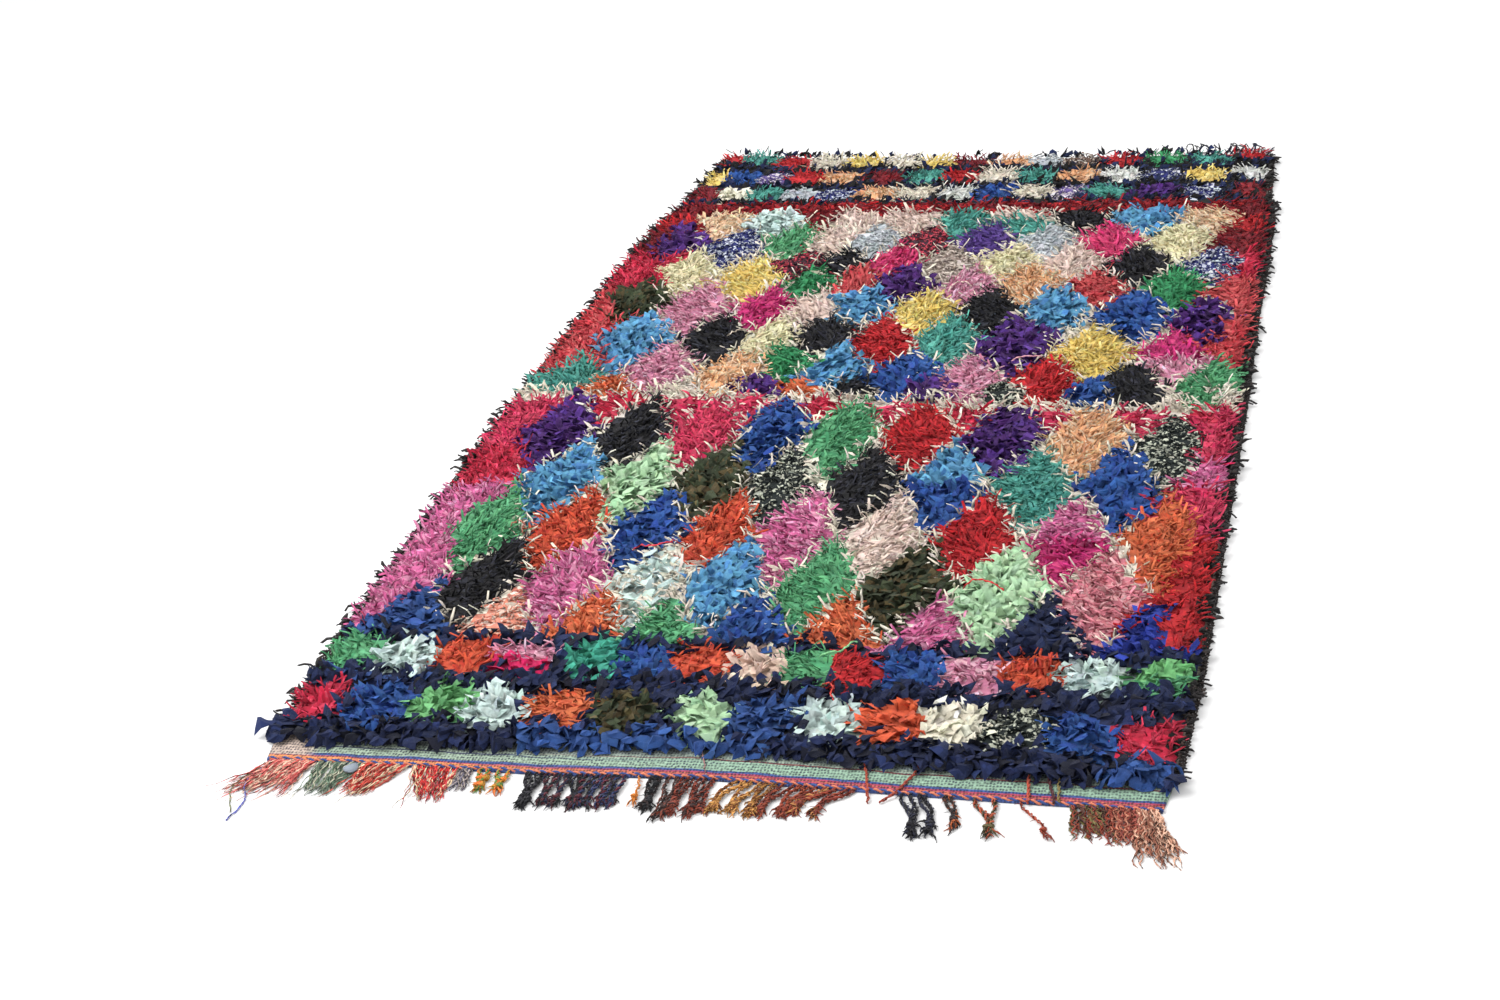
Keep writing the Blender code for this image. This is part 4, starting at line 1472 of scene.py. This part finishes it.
@dataclass(frozen=True)
class Bunch:
    """A bunch of warp ends.

    Attributes:
        style: Make-up of the bunch.
        first: Place of its first root, across the rug.
        last: Place of its last root.
        length: Length of the strands.
        lean: How far their tips lean to the right.
        spread: How far the tips spread to each side.
        strands: Number of roots.
        dyes: Dyes to pick from.
    """

    style: Style
    first: float
    last: float
    length: float
    lean: float
    spread: float
    strands: int
    dyes: tuple[Dye, ...]

    @classmethod
    def read(cls, entry: str) -> "Bunch":
        """Reads a bunch charted as its style, its five measures in millimetres, its strands and its dyes."""
        style, sizes, strands, *dyes = entry.split()
        return cls(Style(style), *numbers(sizes, MM_PER_METRE), int(strands), tuple(map(numbers, dyes)))


# A bunch is charted as Bunch.read takes it.
NEAR_BUNCHES = """
    fuzz -602,-548,92,-34,10 8 214,120,112 232,196,172 206,96,92;
    fuzz -536,-478,85,-6,-12 6 120,140,118 186,182,160 96,120,100;
    fuzz -466,-410,82,-24,-14 6 196,52,46 228,206,172 208,90,76;
    fuzz -398,-338,88,14,-20 6 200,48,44 224,196,160 186,60,66;
    fuzz -326,-316,55,6,2 2 128,124,142 168,156,150 110,104,120;
    knot -302,-262,52,6,0 4 196,142,52 96,140,72 210,110,48; rope -232,-214,90,6,2 3 30,30,34 44,42,48 28,28,34;
    rope -200,-156,84,6,4 6 32,32,36 84,36,44 40,44,66; rope -146,-94,86,0,2 8 34,33,38 46,56,92 92,36,48;
    single -74,-74,80,6,0 1 206,124,48 168,120,50 206,124,48; rope -58,-44,92,4,2 3 30,30,34 52,40,40 30,30,34;
    rope -32,-22,110,2,2 2 62,40,36 112,56,42 40,34,34; rope -12,34,96,-4,0 7 128,56,42 62,40,38 142,66,48;
    rope 64,112,82,-18,6 6 168,116,56 196,142,78 132,80,44; rope 128,162,84,-20,2 4 134,58,40 112,46,38 150,74,50;
    rope 176,226,68,-36,0 5 142,60,44 120,52,42 176,118,70; rope 290,320,102,22,2 4 30,30,36 40,42,60 34,32,36;
    rope 344,352,78,18,2 2 60,40,36 182,96,52 40,36,36; rope 384,412,96,16,-6 2 92,84,56 150,70,46 70,64,48;
    single 446,446,98,42,0 1 150,66,46 120,52,40 150,66,46; tassel 514,552,82,18,2 5 146,64,46 88,52,42 112,100,60;
    tassel 564,590,84,14,2 4 150,72,60 184,120,96 128,56,44;
    tassel 596,620,128,30,12 6 190,142,118 208,166,142 150,92,72
"""
FAR_BUNCHES = """
    single -560,-540,22,-6,2 2; single -380,-350,18,4,2 3; single -150,-130,26,-4,2 2; single 60,80,22,6,2 2;
    single 300,330,20,4,2 3; single 470,540,56,-12,4 6; single 580,634,83,6,10 9
"""
# A stray thread is its dye, its girth, and its stops as x,y,z in millimetres.
STRAY_THREADS = """
    92,96,168 1.3 -612,-1366,4 -628,-1413,3 -610,-1446,2 -604,-1480,2 -610,-1500,2 -612,-1512,1.5;
    104,108,70 1.0 -616,-1362,4 -640,-1423,3 -628,-1461,2 -613,-1491,1.5;
    148,62,44 2.2 224,-1280,14 227,-1300,7 236,-1335,5.5 243,-1368,6 247,-1392,3;
    140,58,44 2.2 304,-1300,14 298,-1318,7 288,-1345,5.5 279,-1372,6 262,-1390,3;
    156,66,48 2.6 446,-1288,14 448,-1306,8 452,-1340,6 455,-1378,6;
    70,34,36 2.4 472,-1290,14 474,-1310,8 482,-1340,6 490,-1376,6;
    120,104,60 2.0 484,-1292,14 488,-1312,8 492,-1342,6 496,-1374,6;
    214,160,160 1.0 -4,-1276,14 0,-1296,6 8,-1318,5 18,-1346,5
"""
# A loose thread is its dye, the x and y of its start, its bearing and its length.
LOOSE_THREADS: tuple[tuple[Dye, float, float, float, float], ...] = (
    ((214, 130, 112), -0.492, -0.615, 0.1, 0.050),
    ((204, 60, 70), -0.262, -0.700, 0.3, 0.085),
    ((214, 98, 160), -0.045, -0.690, -0.9, 0.070),
    ((196, 40, 48), 0.285, -0.800, 0.2, 0.075),
    ((132, 196, 140), 0.110, -1.030, 0.1, 0.080),
    ((206, 70, 60), 0.165, -1.170, 2.7, 0.070),
    ((236, 222, 204), 0.060, 0.500, 0.4, 0.060),
    ((240, 214, 120), -0.420, 0.540, 2.4, 0.060),
    ((218, 160, 172), 0.230, 0.120, 0.5, 0.075),
    ((236, 222, 204), -0.330, 0.250, -0.3, 0.055),
)


@dataclass
class PileThreads:
    """Long loose threads that lie on the pile."""

    height: float = 0.0325

    def build(self, maker: TreeMaker) -> None:
        """Builds the threads as one piece."""
        book = YarnBook(Seed.THREAD_DYES)
        rng = np.random.default_rng(Seed.THREADS)
        for dye, x, y, bearing, length in LOOSE_THREADS:
            heading = bearing + np.cumsum(rng.normal(0, 0.30, 15))
            steps = rows_of(np.cos(heading), np.sin(heading)) * length / 14
            spots = np.array([x, y]) + np.cumsum(steps, axis=0) - steps[0]
            z = self.height + rng.normal(0, 0.0012, 15) - 0.012 * np.abs(np.linspace(-1, 1, 15)) ** 4
            book.add(np.concatenate([spots, z[:, None]], axis=1), np.r_[0.7, np.ones(13), 0.5], dye)
        thread = Yarn(0.00095, 300.0, 3, YarnFinish("LooseThread").material())
        book.lay(maker, "pile_threads", thread, "rag_pile")


@dataclass
class NearFringe:
    """The twined edge cord of the kilim end and the warp bunches that hang from it.

    Attributes:
        rope: Radius of one ply of a thick plied strand.
        yarn: Radius of one ply of a fine yarn.
    """

    rope: float = 0.00170
    yarn: float = 0.00068

    def build(self, maker: TreeMaker) -> None:
        """Builds the thick strands, the fine yarns, the cord and the scrap, a piece each."""
        finish = YarnFinish("WarpYarn").material()
        self.rng = np.random.default_rng(Seed.NEAR_FRINGE)
        self.thick, self.fine = YarnBook(Seed.ROPES), YarnBook(Seed.FINE_YARNS)
        for bunch in map(Bunch.read, NEAR_BUNCHES.split(";")):
            add_bunch = self.loose_bunch if bunch.style in (Style.FUZZ, Style.TASSEL) else self.rope_bunch
            add_bunch(bunch)
        for entry in STRAY_THREADS.split(";"):
            dye, girth, *stops = entry.split()
            stops = [numbers(stop, MM_PER_METRE) for stop in stops]
            steps = np.linspace(0, len(stops) - 1, 18)
            path = rows_of(*(np.interp(steps, np.arange(len(stops)), axis) for axis in zip(*stops)))
            path[1:-1] = (path[:-2] + path[1:-1] + path[2:]) / 3
            path[:, 0] += self.rng.normal(0, 0.0007, len(path))
            self.fine.add(path, float(girth), numbers(dye))
        for book, name, yarn in ((self.thick, "near_fringe_ropes", Yarn(self.rope, 330.0, 3, finish)),
                                 (self.fine, "near_fringe_yarns", Yarn(self.yarn, 260.0, 3, finish)),
                                 (self.edge_cord(), "near_edge_cord", Yarn(0.0019, 330.0, 6, finish))):
            book.lay(maker, name, yarn, "near_fringe")
        self.scrap()

    @staticmethod
    def scrap() -> None:
        """Builds the small oval scrap of grey cloth that lies on the fringe's roots."""
        corners = 14
        bearing = np.arange(corners) * math.tau / corners
        rim = rows_of(-0.484 + 0.0105 * np.cos(bearing), -1.372 + 0.0125 * np.sin(bearing),
                      0.0082 + 0.0010 * np.sin(2 * bearing))
        middle = np.array([[-0.484, -1.372, 0.0098], [-0.484, -1.372, 0.0084]])
        points = np.concatenate([rim, rim - (0, 0, 0.0012), middle])
        faces, uvs = [], []
        unit = rows_of(np.cos(bearing), np.sin(bearing))
        for a in range(corners):
            b = (a + 1) % corners
            faces += [(a, b, 2 * corners), (corners + b, corners + a, 2 * corners + 1)]
            faces.append((corners + a, corners + b, b, a))
            uvs += [unit[a] * 0.2 + 0.25, unit[b] * 0.2 + 0.25, (0.25, 0.25)]
            uvs += [unit[b] * 0.2 + (0.75, 0.25), unit[a] * 0.2 + (0.75, 0.25), (0.75, 0.25)]
            low, high = 0.02 + a / corners * 0.96, 0.02 + (a + 1) / corners * 0.96
            uvs += [(low, 0.6), (high, 0.6), (high, 0.7), (low, 0.7)]
        mesh = bpy.data.meshes.new("near_fringe_scrap")
        mesh.from_pydata(points.tolist(), [], faces)
        for name in (STRAND_MAP, BAKE_MAP):
            write_map(mesh, name, np.array(uvs))
        grey = np.tile(linear((124, 132, 142)), (len(points), 1))
        write_dyes(mesh, grey, grey)
        mesh.materials.append(RagFinish("ScrapCloth", (12.0, 12.0), 0.95, 0.08).material())
        mesh.shade_smooth()
        place(mesh, "near_fringe")

    def rope_bunch(self, bunch: Bunch) -> None:
        """Adds thick strands that meet in twos and threes and end in bushy tufts."""
        rng = self.rng
        strands, style, dyes, lean = bunch.strands, bunch.style, bunch.dyes, bunch.lean
        roots = np.linspace(bunch.first, bunch.last, strands)
        fan = np.linspace(-1, 1, strands) if strands > 1 else np.zeros(1)
        groups = np.arange(strands) // (3 if strands % 2 else 2)
        points = 27
        steps = np.linspace(0, 1, points)
        for strand in np.repeat(np.arange(strands), 1 if style is Style.SINGLE else 2):
            mates = groups == groups[strand]
            meet = roots[mates].mean() + lean * 0.75 + bunch.spread * fan[mates].mean()
            side = np.sign(roots[strand] - roots[mates].mean()) or rng.choice([-1.0, 1.0])
            lane = rng.normal(0, 0.0020)
            root = roots[strand] + rng.normal(0, 0.0026)
            join = rng.uniform(0.58, 0.78)
            toward = np.clip(steps / join, 0, 1)
            toward = toward * toward * (3 - 2 * toward)
            reach = bunch.length * rng.uniform(0.82, 0.96)
            x = root + (meet + lane + side * 0.0016 - root) * toward
            x += side * 0.0028 * np.sin(math.pi * toward) + lean * 0.25 * steps
            x += 0.0009 * np.sin(steps * rng.uniform(14, 22) + rng.uniform(0, 6))
            y = OUTLINE.end(roots[strand], NEAR_EDGE) + 0.003 - (reach + 0.003) * steps
            z = 0.0032 + 0.0022 * np.sin(math.pi * steps) * rng.random() + 0.0004 * rng.random()
            path = rows_of(x, y, z)
            dye, second = (dyes[rng.integers(0, len(dyes))] for _ in range(2))
            girth = np.interp(steps, [0, 0.1, 0.85, 1], [0.8, 1.0, 1.1, 0.7]) * rng.uniform(0.75, 1.15)
            girth = girth * (0.85 if style is Style.SINGLE else 1.0) + rng.normal(0, 0.05, points)
            self.thick.add(path, girth, dye, second)
            self.hairs(path, dyes)
            self.tuft(path, dyes, 7 if style is Style.ROPE else 4)
            if style is not Style.ROPE or rng.random() < 0.35:
                self.knot(path[int(points * (0.55 if style is Style.KNOT else 0.8))], dyes)
                if style is Style.KNOT:
                    self.knot(path[int(points * 0.86)], dyes)

    def loose_bunch(self, bunch: Bunch) -> None:
        """Adds many fine yarns that sweep aside together, wavy or squiggly."""
        rng = self.rng
        lean, dyes, count = bunch.lean, bunch.dyes, bunch.strands
        squiggly = bunch.style is Style.TASSEL
        steps = np.linspace(0, 1, 15 if squiggly else 10)
        for root, part in zip(np.linspace(bunch.first, bunch.last, count), np.linspace(-1, 1, count)):
            gather = rng.uniform(0.3, 0.45)
            common = rng.normal(0, 0.004)
            for yarn in range(9 if squiggly else 12):
                start = root + rng.normal(0, 0.0030)
                tip = root + lean + bunch.spread * part + common + rng.normal(0, 0.0050)
                squeeze = 0.6 * np.exp(-((steps - gather) / 0.2) ** 2) * (1.0 if squiggly else 0.45)
                x = start + (tip - start) * steps ** 1.3
                x = x * (1 - squeeze) + (root + lean * gather) * squeeze
                wave = (0.0034 if squiggly else 0.0024) * np.minimum(steps * 3, 1)
                x = x + wave * np.sin(steps * rng.uniform(18, 34) * (0.9 if squiggly else 0.6) + rng.uniform(0, 6))
                reach = bunch.length * rng.uniform(0.62, 1.05)
                if yarn == 0 and not squiggly:
                    reach, x = reach * 1.2, x - 0.022 * steps ** 2
                y = OUTLINE.end(root, NEAR_EDGE) + 0.003 - (reach + 0.003) * steps
                y = y + wave * 0.6 * np.cos(steps * rng.uniform(16, 30))
                height = rng.uniform(0.0012, 0.0075)
                z = 0.0012 + (height - 0.0012) * np.interp(steps, [0, 0.15, 0.6, 1], [0.5, 1.0, 0.75, 0.15])
                dye, second = (dyes[rng.integers(0, len(dyes))] for _ in range(2))
                if rng.random() < 0.6:
                    second = dye
                girth = np.interp(steps, [0, 0.75, 1], [1.0, 1.0, 0.4]) * rng.uniform(0.8, 1.35)
                girth = girth * (1.45 if squiggly else 1.0)
                self.fine.add(rows_of(x, y, z), girth, dye, second)

    def hairs(self, path: Array, dyes: tuple[Dye, ...]) -> None:
        """Adds short stray hairs along a strand."""
        rng = self.rng
        for _ in range(5):
            start = path[rng.integers(2, len(path) - 2)]
            drift = np.array([rng.normal(0, 0.0055), rng.normal(-0.004, 0.004), rng.uniform(0, 0.003)])
            share = np.array([0.0, 0.55, 1.0])[:, None]
            hair = start + drift * share + np.array([0, 0, 0.001]) * np.sin(share * math.pi)
            hair[:, 2] = np.maximum(hair[:, 2], 0.0006)
            self.fine.add(hair, np.array([0.5, 0.4, 0.25]), dyes[rng.integers(0, len(dyes))])

    def tuft(self, path: Array, dyes: tuple[Dye, ...], fibres: int) -> None:
        """Adds the bushy end of a strand."""
        rng = self.rng
        heading = path[-1] - path[-5]
        heading = heading / np.linalg.norm(heading)
        for _ in range(fibres):
            start = path[-int(rng.integers(2, 9))] + rng.normal(0, 0.0008, 3)
            reach = rng.uniform(0.006, 0.020)
            drift = heading * reach + np.array([rng.normal(0, 0.0060), rng.normal(0, 0.003), 0])
            bend = np.array([rng.normal(0, 0.002), 0, rng.uniform(0, 0.0025)])
            share = np.linspace(0, 1, 5)[:, None]
            fibre = start + drift * share + bend * np.sin(share * math.pi)
            fibre[:, 2] = np.maximum(fibre[:, 2] - 0.0016 * share[:, 0], 0.0009)
            self.fine.add(fibre, np.array([1.4, 1.7, 1.4, 1.0, 0.5]), dyes[rng.integers(0, len(dyes))])

    def knot(self, place_at: Array, dyes: tuple[Dye, ...]) -> None:
        """Adds the turns of yarn that make one knot."""
        turns = np.linspace(0, 2.2 * math.tau, 22)
        radius = 0.0026 + 0.0005 * np.sin(turns * 0.7)
        drift = np.linspace(-0.0024, 0.0024, len(turns))
        path = rows_of(place_at[0] + radius * 1.2 * np.cos(turns),
                       place_at[1] + drift + 0.0006 * np.sin(turns * 2),
                       0.0044 + radius * 0.85 * np.sin(turns))
        self.thick.add(path, 0.8, dyes[self.rng.integers(0, len(dyes))], dyes[0])

    @staticmethod
    def edge_cord() -> YarnBook:
        """Returns the twined cord of blue and salmon that locks the kilim's edge."""
        book = YarnBook(Seed.EDGE_CORD)
        x = np.linspace(-0.614, 0.630, 460)
        wave = 0.0009 * np.sin(x * 62) + 0.0006 * np.sin(x * 141 + 1)
        path = rows_of(x, OUTLINE.end(x, NEAR_EDGE) + 0.0026 + wave, np.full_like(x, 0.0040))
        book.add(path, 1.0 + 0.06 * np.sin(x * 83), (58, 78, 134), (204, 120, 92))
        return book


@dataclass
class FarFringe:
    """The short warp ends at the far side."""

    def build(self, maker: TreeMaker) -> None:
        """Builds the warp ends, with a thin edge cord under the last locks."""
        rng = np.random.default_rng(Seed.FAR_FRINGE)
        book = YarnBook(Seed.FAR_YARNS)
        dyes = ((36, 40, 62), (30, 30, 34), (196, 120, 140))
        for bunch in map(Bunch.read, FAR_BUNCHES.split(";")):
            roots = np.linspace(bunch.first, bunch.last, bunch.strands)
            for root, part in zip(roots, np.linspace(-1, 1, bunch.strands)):
                for _ in range(2):
                    steps = np.linspace(0, 1, 7)
                    x = root + (bunch.lean + bunch.spread * part) * steps + np.cumsum(rng.normal(0, 0.0008, 7))
                    y = OUTLINE.end(root, FAR_PILE) - 0.004 + (bunch.length + 0.004) * steps * rng.uniform(0.8, 1.0)
                    z = 0.0016 + 0.003 * np.sin(steps * math.pi) * rng.random()
                    tone = dyes[rng.integers(0, 3)]
                    book.add(rows_of(x, y, z), np.interp(steps, [0, 1], [1, 0.5]), tone)
        for _ in range(12):
            steps = np.linspace(0, 1, 11)
            start = rng.uniform(0.47, 0.625)
            x = start + rng.uniform(-0.02, 0.045) * steps + 0.004 * np.sin(steps * rng.uniform(5, 11))
            y = OUTLINE.end(start, FAR_PILE) - 0.004 + rng.uniform(0.035, 0.080) * steps
            z = 0.014 + rng.uniform(0.016, 0.0235) * np.sin(math.pi * steps ** 0.8) - 0.010 * steps
            book.add(rows_of(np.minimum(x, 0.660), y, z), np.interp(steps, [0, 1], [1.2, 0.6]),
                     dyes[rng.integers(0, 2)])
        x = np.linspace(-0.60, 0.62, 110)
        book.add(rows_of(x, OUTLINE.end(x, FAR_PILE) + 0.001 * np.sin(x * 50), np.full_like(x, 0.0018)),
                 1.1, dyes[0], dyes[1])
        warp = Yarn(0.00125, 620.0, 3, YarnFinish("FarWarpYarn").material())
        book.lay(maker, "far_fringe_yarns", warp, "far_fringe")


@dataclass
class Selvedge:
    """The brown-black overcasting along one long side.

    Attributes:
        side: -1 for the left side, 1 for the right.
        wool: Material of the wrapped yarn.
        fluff: Material of the tufts.
        depth: How far in from the edge the tufts start.
        tufts: Loose tufts of wool that stand out of it.
        span: Where it starts and ends along the rug.
        wraps: Turns of yarn around the edge.
        wrap_dyes: Dyes of the two plies of the wrapped yarn.
        tuft_dyes: Dyes of the tufts.
    """

    side: int
    wool: Material
    fluff: Material
    depth: float
    tufts: int
    span: tuple[float, float]
    wraps: int = 300
    wrap_dyes: tuple[Dye, Dye] = ((40, 34, 33), (54, 44, 40))
    tuft_dyes: tuple[Dye, Dye] = ((38, 34, 35), (56, 46, 42))

    def edge(self, y: Array) -> Array:
        """Returns x of the side at y."""
        return OUTLINE.left(y) if self.side < 0 else OUTLINE.right(y)

    def build(self, maker: TreeMaker, scatter: TreeMaker) -> None:
        """Builds the wrapped edge and its tufts."""
        node = "selvedge_left" if self.side < 0 else "selvedge_right"
        rng = np.random.default_rng(Seed.TUFTS + self.side)
        book = YarnBook(Seed.WRAP + self.side)
        turns = np.linspace(0, self.wraps * math.tau, self.wraps * 5)
        y = np.linspace(*self.span, len(turns))
        loose = 1 + 0.18 * np.sin(turns * 0.21) + rng.normal(0, 0.05, len(turns))
        x = self.edge(y) + self.side * 0.0034 + 0.0042 * loose * np.cos(turns)
        z = 0.0046 + 0.0030 * loose * np.sin(turns)
        book.add(rows_of(x, y, z), 1.0, *self.wrap_dyes)
        book.lay(maker, f"{node}_wrap", Yarn(0.0012, 300.0, 3, self.wool), node)
        self.build_tufts(scatter, rng, node)

    def build_tufts(self, scatter: TreeMaker, rng: Generator, node: str) -> None:
        """Builds the loose tufts of wool."""
        rack = RagRack("wool", 8, lambda: StripShape(
            rng.uniform(0.012, 0.020), rng.uniform(0.0050, 0.0080), 0.0030, 3, 3,
            rng.uniform(20, 60), rng.uniform(70, 120), 0.45), rng)
        clump = rng.uniform(*self.span, self.tufts // 4)
        y = np.clip(np.repeat(clump, 4) + rng.normal(0, 0.006, len(clump) * 4), *self.span)
        count = len(y)
        bump = np.sin(y * 130 + 2.0 * np.sin(y * 37))
        x = self.edge(y) - self.side * (rng.uniform(-0.002, self.depth, count) - 0.003 * bump)
        z = rng.uniform(0.003, 0.009 + self.depth * 0.3, count)
        bearing = (math.pi if self.side < 0 else 0.0) + rng.normal(0, 0.7, count)
        turn = rows_of(rng.normal(0, 0.2, count), rng.normal(0, 0.2, count), bearing)
        size = rng.uniform(0.7, 1.2, count) * (1.0 + 0.28 * bump)
        variant = rng.integers(0, rack.count, count)
        shade = np.exp(rng.normal(0, 0.2, count))[:, None]
        dyes = tuple(linear(dye) * shade for dye in self.tuft_dyes)
        knots = Knots(rows_of(x, y, z), turn, rows_of(size, size, size), variant, dyes)
        rack.lay(scatter, knots, f"{node}_tufts", self.fluff, node, 0.2, (0.0012, 0.018, 0.024))
        rack.clear()


@dataclass
class Studio:
    """The pale floor, the soft light and the camera that stands where the photographer stood.

    Attributes:
        focal: Focal length in pixels of a picture 1500 wide.
        place_at: The camera's place in the row frame.
        yaw: Turn to the left of +Y, in radians.
        pitch: Tilt down.
        roll: Tilt to the side.
    """

    focal: float = 2556.1
    place_at: tuple[float, float, float] = (0.87972, -4.21319, 1.74229)
    yaw: float = -0.26137
    pitch: float = 0.42047
    roll: float = -0.08977

    def build(self) -> None:
        """Builds the floor, the lights, the world and the camera."""
        self.floor()
        self.light("KeyLight", 225.0, 3.6, (-2.4, -1.2, 3.6))
        self.light("FillLight", 50.0, 5.0, (3.0, 1.5, 3.8))
        world = bpy.data.worlds.new("Studio")
        world.use_nodes = True
        world.node_tree.nodes["Background"].inputs[0].default_value = (1.0, 1.0, 1.0, 1.0)
        world.node_tree.nodes["Background"].inputs[1].default_value = 1.32
        bpy.context.scene.world = world
        bpy.context.scene.view_settings.view_transform = "Standard"
        self.camera()

    @staticmethod
    def floor() -> None:
        """Builds the floor as a large plane with a faint cloud in its paint."""
        mesh = bpy.data.meshes.new("floor")
        reach = 30.0
        mesh.from_pydata([(-reach, -reach, 0), (reach, -reach, 0), (reach, reach, 0), (-reach, reach, 0)], [],
                         [(0, 1, 2, 3)])
        shader = Shader("PaleFloor")
        cloud = shader.noise(shader.place_on(), 1.5)
        colour = shader.shade((0.63, 0.63, 0.63), shader.ramp(cloud, 0.2, 0.8, 0.985, 1.0))
        mesh.materials.append(shader.finish(colour, cloud, 0.0002, 0.85, 0.0))
        floor = add_object("floor", mesh)

    @staticmethod
    def light(name: str, power: float, size: float, place_at: tuple[float, float, float]) -> None:
        """Adds a square soft light that faces the rug."""
        data = bpy.data.lights.new(name, "AREA")
        data.energy = power
        data.size = size
        lamp = add_object(name, data)
        lamp.location = place_at
        lamp.rotation_euler = (-Vector(place_at)).to_track_quat("-Z", "Y").to_euler()

    def camera(self) -> None:
        """Adds the camera."""
        forward = Vector((math.sin(self.yaw) * math.cos(self.pitch), math.cos(self.yaw) * math.cos(self.pitch),
                          -math.sin(self.pitch)))
        right = Vector((math.cos(self.yaw), -math.sin(self.yaw), 0.0))
        up = right.cross(forward)
        turned_right = right * math.cos(self.roll) + up * math.sin(self.roll)
        turned_up = -right * math.sin(self.roll) + up * math.cos(self.roll)
        data = bpy.data.cameras.new("Camera")
        data.sensor_width = 36.0
        data.lens = self.focal / 1500.0 * data.sensor_width
        data.clip_end = 200.0
        camera = add_object("Camera", data)
        rotation = Matrix((turned_right, turned_up, -forward)).transposed()
        camera.matrix_world = Matrix.Translation(self.place_at) @ rotation.to_4x4()
        bpy.context.scene.camera = camera


def main() -> None:
    """Builds the rug piece by piece."""
    logging.basicConfig(level=logging.INFO, format="%(message)s")
    Studio().build()
    yarns = yarn_tree()
    pile = RagPile()
    WovenGround().build()
    NearFringe().build(yarns)
    FarFringe().build(yarns)
    wool = YarnFinish("OvercastWool").material()
    fluff = RagFinish("WoolTuft", (3.0, 30.0), 0.6, 0.2, sheen=0.08).material()
    Selvedge(-1, wool, fluff, 0.008, 560, (-1.284, 1.462)).build(yarns, pile.tree)
    Selvedge(1, wool, fluff, 0.014, 760, (-1.312, 1.426)).build(yarns, pile.tree)
    pile.build()
    PileThreads().build(yarns)


if __name__ == "__main__":
    main()
